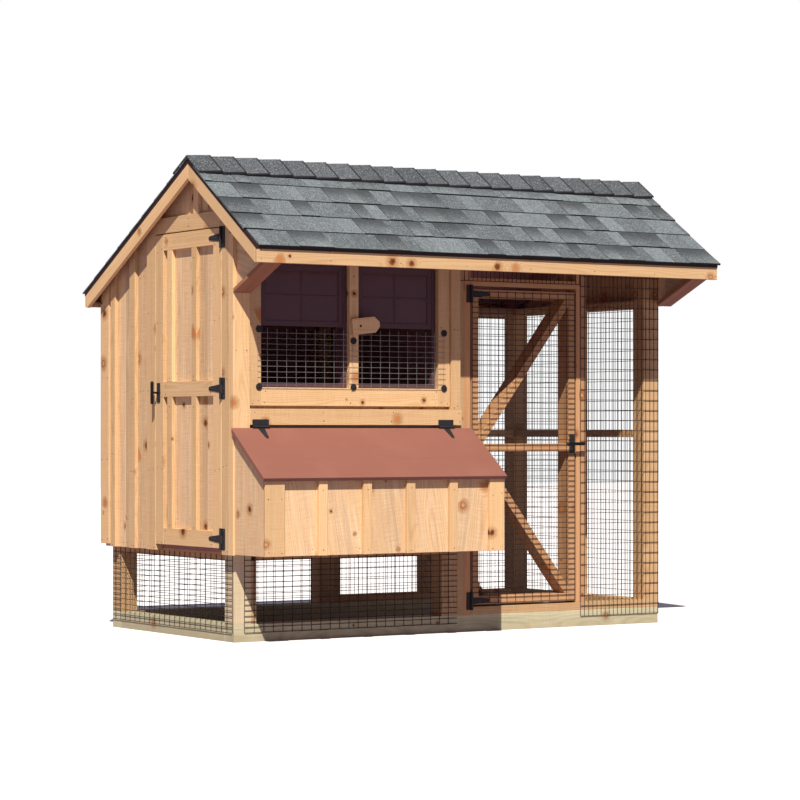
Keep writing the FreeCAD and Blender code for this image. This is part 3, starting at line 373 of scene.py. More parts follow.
def shingleMaterial(name, dark, light, shadeLineWidth):
    # mineral granules, a tone for each tab, a shadow band on some tabs, and painted shade along the lower edge
    # of each tab and the right end and rims of each ridge cap
    made, tree, shader = newMaterial(name)
    place = addNode(tree, "ShaderNodeTexCoord").outputs["Object"]
    tone = attribute(tree, "tabTone", "Fac")
    up = attribute(tree, "tabUp", "Fac")
    shaded = attribute(tree, "tabShade", "Fac")
    speck = addNode(tree, "ShaderNodeTexVoronoi", {"Vector": place, "Scale": 300.0})
    granule = addNode(tree, "ShaderNodeSeparateXYZ", {0: speck.outputs["Color"]}).outputs[0]
    cloud = noiseAt(tree, place, 42.0, 4.0, 0.7)
    cloudy = calc(tree, "MULTIPLY_ADD", cloud, 1.1, -0.40)
    mixed = calc(tree, "ADD", calc(tree, "MULTIPLY", tone, 0.55), cloudy, clamp=True)
    body = mixColour(tree, mixed, colour(*dark), colour(*light))
    darkSpecks = calc(tree, "MULTIPLY", rampUp(tree, granule, 0.25, 0.05), 0.7)
    body = mixColour(tree, darkSpecks, body, colour(0.03, 0.034, 0.036))
    paleSpecks = calc(tree, "MULTIPLY", rampUp(tree, granule, 0.86, 0.95), 0.6)
    body = mixColour(tree, paleSpecks, body, colour(0.42, 0.44, 0.43))
    band = calc(tree, "MULTIPLY", rampUp(tree, up, 0.05, 0.95), shaded)
    body = mixColour(tree, calc(tree, "MULTIPLY", band, 0.80), body, colour(0.030, 0.035, 0.038))
    # painted shade: near-black lines at the tab edges and along the front and back rims of the caps
    rim = rampUp(tree, attribute(tree, "tabRim", "Fac"), 0.965, 0.99)
    edgeShadeLine = calc(tree, "MAXIMUM", calc(tree, "SUBTRACT", 1.0, rampUp(tree, up, shadeLineWidth * 0.4, shadeLineWidth)), rim)
    body = mixColour(tree, edgeShadeLine, body, colour(0.010, 0.010, 0.011))
    tree.links.new(body, shader.inputs["Base Color"])
    shader.inputs["Roughness"].default_value = 0.9
    addBump(tree, shader, granule, 0.0012, 0.8)
    return made


def glassPaintedShadeMaterial():
    # opaque dark maroon panes: painted shade for the dark inside of the coop behind the glass, varied by smears
    made, tree, shader = newMaterial("windowGlass")
    place = addNode(tree, "ShaderNodeTexCoord").outputs["Object"]
    smear = noiseAt(tree, place, 9.0, 4.0, 0.6)
    tree.links.new(mixColour(tree, smear, colour(0.105, 0.052, 0.060), colour(0.125, 0.064, 0.073)),
                   shader.inputs["Base Color"])
    tree.links.new(calc(tree, "MULTIPLY_ADD", smear, 0.12, 0.06), shader.inputs["Roughness"])
    return made


def floorMaterial():
    # pale where it is looked at, darker for the light it throws back up
    made, tree, shader = newMaterial("paleFloor")
    place = addNode(tree, "ShaderNodeTexCoord").outputs["Object"]
    faint = noiseAt(tree, place, 2.0, 3.0)
    pale = mixColour(tree, faint, colour(0.93, 0.93, 0.93), colour(0.96, 0.96, 0.96))
    looked = addNode(tree, "ShaderNodeLightPath").outputs["Is Camera Ray"]
    tree.links.new(mixColour(tree, looked, colour(0.31, 0.26, 0.32), pale), shader.inputs["Base Color"])
    shader.inputs["Roughness"].default_value = 0.9
    return made


# base colour, worn colour, roughness, metallic, how much of the edges is worn
metalLooks = {
    "blackIron": ((0.012, 0.012, 0.014), (0.10, 0.06, 0.04), 0.42, 0.0, 0.7),
    "hingePin": ((0.030, 0.022, 0.018), (0.16, 0.10, 0.07), 0.35, 0.6, 0.8),
    "handleBar": ((0.020, 0.020, 0.022), (0.45, 0.44, 0.42), 0.25, 0.8, 0.9),
    "wireZinc": ((0.010, 0.009, 0.009), (0.05, 0.045, 0.04), 0.55, 0.0, 0.2),
    "guardZinc": ((0.36, 0.35, 0.35), (0.5, 0.5, 0.49), 0.38, 0.85, 0.3),
    "washerIron": ((0.018, 0.017, 0.018), (0.15, 0.12, 0.10), 0.4, 0.3, 0.6),
    "dripMetal": ((0.034, 0.017, 0.015), (0.10, 0.06, 0.05), 0.35, 0.3, 0.4),
    "windowMetal": ((0.080, 0.042, 0.050), (0.12, 0.08, 0.09), 0.5, 0.1, 0.4),
    "nailIron": ((0.06, 0.045, 0.035), (0.12, 0.08, 0.05), 0.6, 0.3, 0.2),
    "feltBlack": ((0.020, 0.020, 0.021), (0.05, 0.05, 0.05), 0.8, 0.0, 0.1),
}
# colours of the dark and light granules, and how wide the painted shade line at a tab's lower edge is
shingleLooks = {
    "shingleField": ((0.072, 0.091, 0.102), (0.225, 0.268, 0.288), 0.035),
    "shingleCap": ((0.045, 0.055, 0.065), (0.105, 0.122, 0.138), 0.10),
}
materials = {name: woodMaterial(name) for name in woodLooks}
materials.update({name: metalMaterial(name, *look) for name, look in metalLooks.items()})
materials.update({name: shingleMaterial(name, *look) for name, look in shingleLooks.items()})
materials.update(lidPaint=lidMaterial(), windowGlass=glassPaintedShadeMaterial())
print("materials made:", len(bpy.data.materials))


# pieces made from the frame's solids

def splitSolids(node):
    # the loose triangles of one node, gathered into closed solids
    mesh = frame["nodes"][node].data
    corners = [tuple(vertex.co) for vertex in mesh.vertices]
    keys = [tuple(round(c * 1e5) for c in corner) for corner in corners]
    solids, current, openEdges = [], [], {}
    for face in mesh.polygons:
        ids = [keys[i] for i in face.vertices]
        current.append([corners[i] for i in face.vertices])
        for edge in zip(ids, ids[1:] + ids[:1]):
            back = (edge[1], edge[0])
            if openEdges.get(back):
                openEdges[back] -= 1
                if not openEdges[back]:
                    del openEdges[back]
            elif edge[0] != edge[1]:
                openEdges[edge] = openEdges.get(edge, 0) + 1
        if not openEdges:
            solids.append(current)
            current = []
    return solids


def solidBoxes(node):
    boxes = []
    for triangles in splitSolids(node):
        points = np.array([corner for triangle in triangles for corner in triangle])
        boxes.append((Vector(points.min(0)), Vector(points.max(0))))
    return boxes


def solidMesh(triangles, bevelWidth):
    shape = bmesh.new()
    found = {}
    for triangle in triangles:
        corners = []
        for corner in triangle:
            key = tuple(round(c * 1e5) for c in corner)
            if key not in found:
                found[key] = shape.verts.new(corner)
            corners.append(found[key])
        if len(set(corners)) == 3:
            shape.faces.new(corners)
    flat = math.radians(timberSettings["flatAngle"])
    bmesh.ops.dissolve_limit(shape, angle_limit=flat, verts=shape.verts, edges=shape.edges)
    shape.normal_update()
    if bevelWidth:
        least = math.radians(timberSettings["sharpAngle"])
        sharp = [edge for edge in shape.edges if edge.is_manifold and edge.calc_face_angle() > least]
        bmesh.ops.bevel(shape, geom=sharp, offset=bevelWidth, segments=1, affect="EDGES",
                        clamp_overlap=True, profile=0.6)
        shape.normal_update()
    return shape


def boardAxes(points):
    # directions along, across and through a board: its own box axes
    centred = points - points.mean(0)
    spread = centred.max(0) - centred.min(0)
    values, vectors = np.linalg.eigh(np.cov(centred.T))
    axes = vectors[:, ::-1].T
    if abs(axes[0]).max() > 0.995:
        order = np.argsort(-spread)
        axes = np.eye(3)[order]
    return axes, centred


def linkPiece(mesh, body, replaced=None):
    piece = bpy.data.objects.new(mesh.name, mesh)
    bpy.context.scene.collection.objects.link(piece)
    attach(piece, body)
    if replaced:
        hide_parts(replaced)


timberSettings = dict(edge=0.0012, flatAngle=1.0, sharpAngle=30.0, seed=7)


def dressTimber(node, material):
    # rounds the edges of every board in a node and writes where each point lies in its own board
    rng = random.Random(f"{node}{timberSettings['seed']}")
    shapes = bmesh.new()
    grain = shapes.verts.layers.float_vector.new("grain")
    board = shapes.verts.layers.float.new("board")
    for solidNumber, triangles in enumerate(splitSolids(node)):
        points = np.array([corner for triangle in triangles for corner in triangle])
        axes, centred = boardAxes(points)
        middle = points.mean(0)
        number = rng.random()
        flip = rng.choice((-1.0, 1.0))
        solid = solidMesh(triangles, timberSettings["edge"])
        copies = {}
        for vertex in solid.verts:
            made = shapes.verts.new(vertex.co)
            local = axes @ (np.array(vertex.co) - middle)
            made[grain] = Vector((local[0] * flip, local[1], local[2]))
            made[board] = number
            copies[vertex.index] = made
        for face in solid.faces:
            made = shapes.faces.new([copies[vertex.index] for vertex in face.verts])
            inner = node in innerFaces and face.normal.dot(innerFaces[node]) > 0.9
            made.material_index = int(inner or solidNumber in paleSolids.get(node, ()))
        solid.free()
    mesh = bpy.data.meshes.new(node + "Timber")
    shapes.to_mesh(mesh)
    shapes.free()
    mesh.materials.append(material)
    if node in paleSolids:
        mesh.materials.append(materials["paleFir"])
    if node in innerFaces:
        mesh.materials.append(materials["innerPaintedShade"])
    linkPiece(mesh, nodeBody[node], node)


paleSolids = {"corner_posts": (0,)}     # the front left post is a lighter timber than the rest
innerFaces = {     # boards whose inner face gets painted shade, and the way that face looks
    "back_siding": Vector((0, -1, 0)), "gable_siding": Vector((1, 0, 0)),
    "partition_siding": Vector((-1, 0, 0)), "front_wall_boards": Vector((0, 1, 0)),
    "gable_door_boards": Vector((1, 0, 0)),
}
timberNodes = {
    "gableBoards": ["gable_siding", "back_siding", "partition_siding", "run_gable_siding", "front_wall_boards",
                    "overhang_end_caps", "nest_front", "nest_ends", "gable_door_boards"],
    "battens": ["gable_trim", "front_trim", "window_casing", "nest_battens", "gable_door_trim", "rake_boards",
                "fascia_boards", "turn_button"],
    "framing": ["run_door_jambs", "floor_frame", "run_door_frame", "ramp", "pop_door_guides"],
    "posts": ["corner_posts", "wall_studs", "run_rails"],
    "treated": ["skids"],
    "sheathing": ["back_soffit", "pop_door", "top_plates"],
    "innerPaintedShade": ["house_framing", "rafters", "ridge_board", "roof_deck", "floor_panel", "roost_bars",
                   "nest_inside"],
    "returnPaintedShade": ["overhang_returns"],
    "lidPaint": ["nest_lid"],
}
for look, nodes in timberNodes.items():
    for node in nodes:
        dressTimber(node, materials[look])
print("timber dressed:", sum(len(nodes) for nodes in timberNodes.values()), "nodes")

metalNodes = {
    "blackIron": ["hinge_leaves", "nest_lid_straps", "gable_door_hardware", "run_door_hardware",
                  "latch_keepers"],
    "hingePin": ["hinge_pins"],
    "handleBar": ["gable_latch_handle", "run_latch_handle"],
    "washerIron": ["wall_screws"],
    "dripMetal": ["drip_edges"],
    "windowMetal": ["window_frames"],
    "feltBlack": ["roof_felt"],
}
for look, nodes in metalNodes.items():
    for node in nodes:
        frame["nodes"][node].data.materials[0] = materials[look]
print("metal finished:", sum(len(nodes) for nodes in metalNodes.values()), "nodes")


# geometry node trees

def grow(name, tree, settings, seedMesh=None):
    # runs a tree and keeps its result as a plain mesh
    holder = bpy.data.objects.new(name + "Holder", seedMesh or bpy.data.meshes.new(name + "Holder"))
    bpy.context.scene.collection.objects.link(holder)
    modifier = holder.modifiers.new("grow", "NODES")
    modifier.node_group = tree
    for item in tree.interface.items_tree:
        if item.item_type == "SOCKET" and item.in_out == "INPUT" and item.name in settings:
            modifier[item.identifier] = settings[item.name]
    evaluated = holder.evaluated_get(bpy.context.evaluated_depsgraph_get())
    mesh = bpy.data.meshes.new_from_object(evaluated, preserve_all_data_layers=True,
                                           depsgraph=bpy.context.evaluated_depsgraph_get())
    bpy.data.objects.remove(holder)
    mesh.name = name
    return mesh


def storeNamed(tree, geometry, name, value, kind="FLOAT"):
    inputs = {"Geometry": geometry, "Name": name}
    stored = addNode(tree, "GeometryNodeStoreNamedAttribute", inputs, data_type=kind)
    tree.links.new(value, stored.inputs["Value"])
    return stored.outputs[0]


def randomFloat(tree, low, high, **inputs):
    values = {2: low, 3: high, **inputs}
    return addNode(tree, "FunctionNodeRandomValue", values, data_type="FLOAT").outputs[1]


def namedVector(tree, name):
    return addNode(tree, "GeometryNodeInputNamedAttribute", {"Name": name}, data_type="FLOAT_VECTOR").outputs[0]


def endTree(tree, geometry, given, out):
    real = addNode(tree, "GeometryNodeRealizeInstances", {"Geometry": geometry}).outputs[0]
    done = addNode(tree, "GeometryNodeSetMaterial", {"Geometry": real, "Material": given["Material"]})
    tree.links.new(done.outputs[0], out["Geometry"])
    return tree


def buildWireTree():
    # welded wire panel in the XZ plane: upright wires, and cross wires outside them
    group, given, out, make, do = makeGeometryGroup("weldedWire", [
        ("Width", floatKind, 1.0),
        ("Height", floatKind, 1.0),
        ("Cell Width", floatKind, 0.0254),
        ("Cell Height", floatKind, 0.0508),
        ("Wire Radius", floatKind, 0.001),
        ("Waviness", floatKind, 0.002),
        ("Side", floatKind, 1.0),
        ("Seed", floatKind, 0.0),
    ])

    def wires(length, cell, step, end, reach, outset):
        # a row of straight wires, one for each cell across the given length
        number = do("ADD", do("FLOOR", do("DIVIDE", length, cell)), 1.0)
        start = joinXYZ(group, 0.0, outset, 0.0)
        line = make("GeometryNodeMeshLine", {"Count": number, "Start Location": start, "Offset": step})
        single = make("GeometryNodeCurvePrimitiveLine", {"End": end})
        bends = do("MULTIPLY_ADD", reach, wireSettings["pointsPerMetre"], wireSettings["leastPoints"])
        single = make("GeometryNodeResampleCurve", {"Curve": single, "Count": bends})
        placed = make("GeometryNodeInstanceOnPoints", {"Points": line, "Instance": single})
        return make("GeometryNodeRealizeInstances", {"Geometry": placed})

    outset = do("MULTIPLY", given["Wire Radius"], given["Side"])
    wide, tall = given["Width"], given["Height"]
    uprights = wires(wide, given["Cell Width"], joinXYZ(group, given["Cell Width"], 0.0, 0.0),
                     joinXYZ(group, 0.0, 0.0, tall), tall, outset)
    crosses = wires(tall, given["Cell Height"], joinXYZ(group, 0.0, 0.0, given["Cell Height"]),
                    joinXYZ(group, wide, 0.0, 0.0), wide, do("MULTIPLY", outset, wireSettings["crossOutset"]))
    both = addNode(group, "GeometryNodeJoinGeometry")
    group.links.new(uprights, both.inputs[0])
    group.links.new(crosses, both.inputs[0])
    position = make("GeometryNodeInputPosition")
    shift = joinXYZ(group, given["Seed"], given["Seed"], 0.0)
    seeded = make("ShaderNodeVectorMath", {0: position, 1: shift}, operation="ADD")
    noise = addNode(group, "ShaderNodeTexNoise", {"Vector": seeded, "Scale": 4.0, "Detail": 2.0})
    noise = noise.outputs["Color"]
    offset = make("ShaderNodeVectorMath", {0: noise, 1: (0.5, 0.5, 0.5)}, operation="SUBTRACT")
    flatten = {0: offset, 1: (1.0, wireSettings["outwardShare"], 1.0)}
    offset = make("ShaderNodeVectorMath", flatten, operation="MULTIPLY")
    offset = make("ShaderNodeVectorMath", {0: offset, "Scale": given["Waviness"]}, operation="SCALE")
    bent = make("GeometryNodeSetPosition", {"Geometry": both.outputs[0], "Offset": offset})
    profile = make("GeometryNodeCurvePrimitiveCircle", {
        "Resolution": wireSettings["sides"], "Radius": given["Wire Radius"]})
    tube = make("GeometryNodeCurveToMesh", {"Curve": bent, "Profile Curve": profile, "Fill Caps": True})
    return endTree(group, tube, given, out)


def buildHeadTree():
    # round fastener heads on points, each turned to face its own direction
    group, given, out, make, do = makeGeometryGroup("fastenerHeads", [
        ("Points", geometryKind, None),
        ("Radius", floatKind, 0.003),
        ("Height", floatKind, 0.001),
        ("Taper", floatKind, 0.7),
        ("Smallest", floatKind, 0.85),
        ("Largest", floatKind, 1.2),
        ("Seed", integerKind, 3),
    ])
    facing = namedVector(group, "facing")
    turn = make("FunctionNodeAlignRotationToVector", {"Vector": facing}, axis="Z")
    top = do("MULTIPLY", given["Radius"], given["Taper"])
    head = make("GeometryNodeMeshCone", {
        "Vertices": 10, "Radius Top": top, "Radius Bottom": given["Radius"], "Depth": given["Height"]})
    size = randomFloat(group, given["Smallest"], given["Largest"], Seed=given["Seed"])
    placed = make("GeometryNodeInstanceOnPoints", {
        "Points": given["Points"], "Instance": head, "Rotation": turn, "Scale": size})
    return endTree(group, placed, given, out)


def buildShingleTree():
    # rows of tabs with uneven widths, laid from the eave up, in X and up-slope Y
    group, given, out, make, do = makeGeometryGroup("shingleCourses", [
        ("Length", floatKind, 2.6),
        ("Courses", integerKind, 5),
        ("Tabs", integerKind, 18),
        ("Exposure", floatKind, 0.143),
        ("Top Course", floatKind, 0.1),
        ("Thickness", floatKind, 0.009),
        ("Unevenness", floatKind, 0.36),
        ("Raised Above", floatKind, 0.58),
        ("Gap", floatKind, 0.0012),
        ("Seed", integerKind, 1),
    ])
    total = do("MULTIPLY", given["Courses"], given["Tabs"])
    line = make("GeometryNodeMeshLine", {"Count": total, "Offset": (0.0, 0.0, 0.001)})
    index = make("GeometryNodeInputIndex")
    course = do("FLOOR", do("DIVIDE", do("ADD", index, 0.5), given["Tabs"]))
    column = do("SUBTRACT", index, do("MULTIPLY", course, given["Tabs"]))
    pitch = do("DIVIDE", given["Length"], do("SUBTRACT", given["Tabs"], 1.0))
    half = do("MULTIPLY", do("MODULO", do("MULTIPLY", course, 0.618), 1.0), -1.0)
    narrowest = do("MULTIPLY", given["Unevenness"], -1.0)

    def boundary(number):
        # where the gap before this tab falls, along X
        jitter = randomFloat(group, narrowest, given["Unevenness"], ID=number, Seed=given["Seed"])
        local = do("SUBTRACT", number, do("MULTIPLY", course, given["Tabs"]))
        raw = do("MULTIPLY", do("ADD", do("ADD", local, half), jitter), pitch)
        return do("MINIMUM", do("MAXIMUM", raw, 0.0), given["Length"])

    left = boundary(index)
    lastColumn = do("GREATER_THAN", column, do("SUBTRACT", given["Tabs"], 1.5))
    right = do("MAXIMUM", boundary(do("ADD", index, 1.0)), do("MULTIPLY", lastColumn, given["Length"]))
    width = do("SUBTRACT", right, left)
    topCourse = do("GREATER_THAN", course, do("SUBTRACT", given["Courses"], 1.5))
    shorter = do("SUBTRACT", given["Top Course"], given["Exposure"])
    reach = do("MULTIPLY_ADD", topCourse, shorter, given["Exposure"])
    tooth = randomFloat(group, 0.0, 1.0, ID=index, Seed=do("ADD", given["Seed"], 5.0))
    raised = do("GREATER_THAN", tooth, given["Raised Above"])
    thick = do("MULTIPLY", given["Thickness"], do("MULTIPLY_ADD", raised, 0.35, 0.65))
    size = joinXYZ(group, do("SUBTRACT", width, given["Gap"]), reach, thick)
    tone = randomFloat(group, 0.0, 1.0, ID=index, Seed=do("ADD", given["Seed"], 9.0))
    start = joinXYZ(group, left, do("MULTIPLY", course, given["Exposure"]), 0.0)
    points = make("GeometryNodeSetPosition", {"Geometry": line, "Position": start})
    points = storeNamed(group, points, "tabSize", size, "FLOAT_VECTOR")
    points = storeNamed(group, points, "tabTone", tone)
    points = storeNamed(group, points, "tabShade", raised)
    sized = namedVector(group, "tabSize")
    narrow = do("LESS_THAN", make("ShaderNodeSeparateXYZ", {0: sized}), 0.004)
    kept = make("GeometryNodeDeleteGeometry", {"Geometry": points, "Selection": narrow}, domain="POINT")

    # one tab: a wedge, thick at its lower edge
    block = make("GeometryNodeMeshCube", {"Size": (1.0, 1.0, 1.0)})
    local = addNode(group, "ShaderNodeSeparateXYZ", {0: make("GeometryNodeInputPosition")}).outputs
    up = do("ADD", local[1], 0.5)
    taper = do("MULTIPLY_ADD", up, -0.5, 1.0)
    wedge = joinXYZ(group, do("ADD", local[0], 0.5), up, do("MULTIPLY", do("ADD", local[2], 0.5), taper))
    graded = storeNamed(group, block, "tabUp", up)
    tab = make("GeometryNodeSetPosition", {"Geometry": graded, "Position": wedge})
    placed = make("GeometryNodeInstanceOnPoints", {
        "Points": kept, "Instance": tab, "Scale": sized})
    return endTree(group, placed, given, out)


def buildRidgeTree():
    # bent caps along the ridge, each lapping over the next one on its right
    group, given, out, make, do = makeGeometryGroup("ridgeCaps", [
        ("Length", floatKind, 2.6),
        ("Count", integerKind, 18),
        ("Front Run", floatKind, 0.126),
        ("Back Run", floatKind, 0.133),
        ("Front Slope", floatKind, 0.64),
        ("Back Slope", floatKind, 0.52),
        ("Thickness", floatKind, 0.006),
        ("Lap Rise", floatKind, 0.006),
        ("Seed", integerKind, 1),
    ])
    pitch = do("DIVIDE", given["Length"], given["Count"])
    line = make("GeometryNodeMeshLine", {"Count": given["Count"], "Offset": joinXYZ(group, pitch, 0.0, 0.0)})
    tone = randomFloat(group, 0.0, 1.0, Seed=given["Seed"])
    points = storeNamed(group, line, "tabTone", tone)
    block = make("GeometryNodeMeshCube", {"Size": (1.0, 1.0, 1.0), "Vertices Y": 3})
    local = addNode(group, "ShaderNodeSeparateXYZ", {0: make("GeometryNodeInputPosition")}).outputs
    u = do("ADD", local[0], 0.5)
    behind = do("GREATER_THAN", local[1], 0.0)

    def frontOrBack(label):
        change = do("SUBTRACT", given["Back " + label], given["Front " + label])
        return do("MULTIPLY_ADD", behind, change, given["Front " + label])

    y = do("MULTIPLY", do("MULTIPLY", local[1], 2.0), frontOrBack("Run"))
    drop = do("MULTIPLY", do("ABSOLUTE", y), frontOrBack("Slope"))
    lift = do("MULTIPLY", u, given["Lap Rise"])
    z = do("SUBTRACT", do("MULTIPLY_ADD", do("ADD", local[2], 0.5), given["Thickness"], lift), drop)
    cap = storeNamed(group, block, "tabUp", do("SUBTRACT", 1.0, u))
    # tabRim grows towards the front and back rims of a cap, where the shingle material paints shade
    cap = storeNamed(group, cap, "tabRim", do("MULTIPLY", do("ABSOLUTE", local[1]), 2.0))
    bent = make("GeometryNodeSetPosition", {
        "Geometry": cap, "Position": joinXYZ(group, do("MULTIPLY", u, pitch), y, z)})
    placed = make("GeometryNodeInstanceOnPoints", {"Points": points, "Instance": bent})
    return endTree(group, placed, given, out)


wireSettings = dict(radius=0.0015, guardRadius=0.0009, waviness=0.0030, tall=(0.0254, 0.0508),
                    wide=(0.0508, 0.0254), pointsPerMetre=12.0, leastPoints=4.0, crossOutset=2.6,
                    outwardShare=0.35, sides=5, firstSeed=3.0)
wireTree = buildWireTree()
headTree = buildHeadTree()
shingleTree = buildShingleTree()
ridgeTree = buildRidgeTree()
print("node trees made")


# places in the frame, in millimetres from the front left corner of the base

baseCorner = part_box("corner_posts")[0]
baseShift = Vector((baseCorner[0], baseCorner[1], 0.0))


def at(x, y, z):
    return Vector((mm(x), mm(y), mm(z))) + baseShift


def joinMeshes(name, meshes):
    shape = bmesh.new()
    for mesh in meshes:
        shape.from_mesh(mesh)
    joined = bpy.data.meshes.new(name)
    for material in meshes[0].materials:
        joined.materials.append(material)
    shape.to_mesh(joined)
    shape.free()
    return joined


def turned(origin, along, up, out):
    # matrix that lays a shape's X, Y and Z along three directions
    matrix = Matrix((along, up, out)).transposed().to_4x4()
    matrix.translation = origin
    return matrix


# welded wire

eastward, northward, upward = Vector((1, 0, 0)), Vector((0, 1, 0)), Vector((0, 0, 1))
# side is 1 where the outside of the panel is to the left of its run, -1 where it is to the right
wirePanels = {
    "base_wire": [
        dict(corner=(53, 0, 42), along=eastward, side=-1, width=1165, height=355, cell="wide"),
        dict(corner=(0, 14, 42), along=northward, side=1, width=1195, height=355, cell="wide"),
        dict(corner=(10, 1219, 42), along=eastward, side=1, width=1212, height=355, cell="wide"),
    ],
    "run_wire": [
        dict(corner=(1954, 0, 50), along=eastward, side=-1, width=484, height=1840, cell="tall"),
        dict(corner=(1238, 0, 1684), along=eastward, side=-1, width=716, height=206, cell="tall"),
        dict(corner=(2438, 0, 50), along=northward, side=-1, width=1219, height=1538, cell="tall"),
        dict(corner=(1222, 1219, 50), along=eastward, side=1, width=1216, height=1540, cell="tall"),
    ],
    "run_door_wire": [
        dict(corner=(1309, 0, 134), along=eastward, side=-1, width=610, height=1505, cell="wide"),
    ],
    "window_guard": [
        dict(corner=(97, -45, 1157), along=eastward, side=-1, width=1027, height=273, cell="wide"),
    ],
}
for node, panels in wirePanels.items():
    isGuard = node == "window_guard"
    made = []
    for number, panel in enumerate(panels):
        cellWidth, cellHeight = wireSettings[panel["cell"]]
        values = {"Width": mm(panel["width"]), "Height": mm(panel["height"]),
                  "Cell Width": cellWidth, "Cell Height": cellHeight,
                  "Wire Radius": wireSettings["guardRadius" if isGuard else "radius"],
                  "Waviness": wireSettings["waviness"], "Side": panel["side"],
                  "Seed": wireSettings["firstSeed"] + number,
                  "Material": materials["guardZinc" if isGuard else "wireZinc"]}
        mesh = grow(node + "Panel", wireTree, values)
        mesh.transform(turned(at(*panel["corner"]), panel["along"], upward.cross(panel["along"]), upward))
        made.append(mesh)
    linkPiece(joinMeshes(node + "Welded", made), nodeBody[node], node)
print("wire panels woven:", sum(len(panels) for panels in wirePanels.values()))


# shingles and ridge caps

roofSettings = dict(ridgeY=280, ridgeZ=2202, left=-96, right=2534, exposure=143, underLift=13.5, capLift=22.5,
                    thickness=9, gap=1.2, unevenness=0.36, raisedAbove=0.58, capSide=150, capCount=21,
                    capThickness=8, capSlope=0.58, lapRise=7)
roofSides = {
    "shingles_front": dict(slope=0.670, low=-375, direction=1, tabs=28, seed=4),
    "shingles_back": dict(slope=0.534, low=1360, direction=-1, tabs=28, seed=23),
}


def roofPoint(x, y, slope, lift):
    z = roofSettings["ridgeZ"] - slope * abs(y - roofSettings["ridgeY"]) + lift * math.hypot(1.0, slope)
    return at(x, y, z)


for node, side in roofSides.items():
    length = roofSettings["right"] - roofSettings["left"]
    climb = abs(roofSettings["ridgeY"] - side["low"]) * math.hypot(1.0, side["slope"])
    courses = math.ceil(climb / roofSettings["exposure"])
    values = {"Length": mm(length), "Courses": courses, "Tabs": side["tabs"],
              "Exposure": mm(roofSettings["exposure"]), "Thickness": mm(roofSettings["thickness"]),
              "Top Course": mm(climb - (courses - 1) * roofSettings["exposure"]),
              "Unevenness": roofSettings["unevenness"], "Raised Above": roofSettings["raisedAbove"],
              "Gap": mm(roofSettings["gap"]), "Seed": side["seed"], "Material": materials["shingleField"]}
    mesh = grow(node + "Tabs", shingleTree, values)
    along = eastward * side["direction"]
    up = Vector((0, side["direction"], side["slope"])).normalized()
    start = roofSettings["left"] if side["direction"] > 0 else roofSettings["right"]
    eave = roofPoint(start, side["low"], side["slope"], roofSettings["underLift"])
    mesh.transform(turned(eave, along, up, along.cross(up)))
    linkPiece(mesh, nodeBody[node], node)

capLow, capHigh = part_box("ridge_cap")
frontSlope, backSlope = roofSides["shingles_front"]["slope"], roofSides["shingles_back"]["slope"]
capValues = {"Length": capHigh[0] - capLow[0], "Count": roofSettings["capCount"],
             "Front Run": mm(roofSettings["capSide"]) / math.hypot(1.0, frontSlope),
             "Back Run": mm(roofSettings["capSide"]) / math.hypot(1.0, backSlope),
             "Front Slope": frontSlope, "Back Slope": backSlope,
             "Thickness": mm(roofSettings["capThickness"]), "Lap Rise": mm(roofSettings["lapRise"]), "Seed": 8,
             "Material": materials["shingleCap"]}
caps = grow("ridgeCaps", ridgeTree, capValues)
capStart = roofPoint(roofSettings["left"], roofSettings["ridgeY"], roofSettings["capSlope"],
                     roofSettings["capLift"])
caps.transform(Matrix.Translation(capStart))
linkPiece(caps, nodeBody["ridge_cap"], "ridge_cap")
print("roof covered:", len(caps.polygons), "faces in the ridge caps")


# window sashes

sashSettings = dict(frame=24, muntin=9, barDepth=10, glass=3, rebate=4, edge=0.0010)
sashes = {
    "fixed_sashes": [((133, -14, 1445.5), (571, 1, 1727)), ((656, -14, 1445.5), (1066, 1, 1727))],
    "sash_left": [((128, 8, 1446), (576, 23, 1725))],
    "sash_right": [((651, 8, 1446), (1071, 23, 1725))],
}


def addBlock(shape, low, high, materialIndex=0, edge=0.0):
    corner, far = at(*low), at(*high)
    made = bmesh.ops.create_cube(shape, size=1.0)["verts"]
    for vertex in made:
        vertex.co = Vector([corner[i] if vertex.co[i] < 0 else far[i] for i in range(3)])
    faces = {face for vertex in made for face in vertex.link_faces}
    for face in faces:
        face.material_index = materialIndex
    if edge:
        edges = {line for vertex in made for line in vertex.link_edges}
        bmesh.ops.bevel(shape, geom=list(edges), offset=edge, segments=1, affect="EDGES")


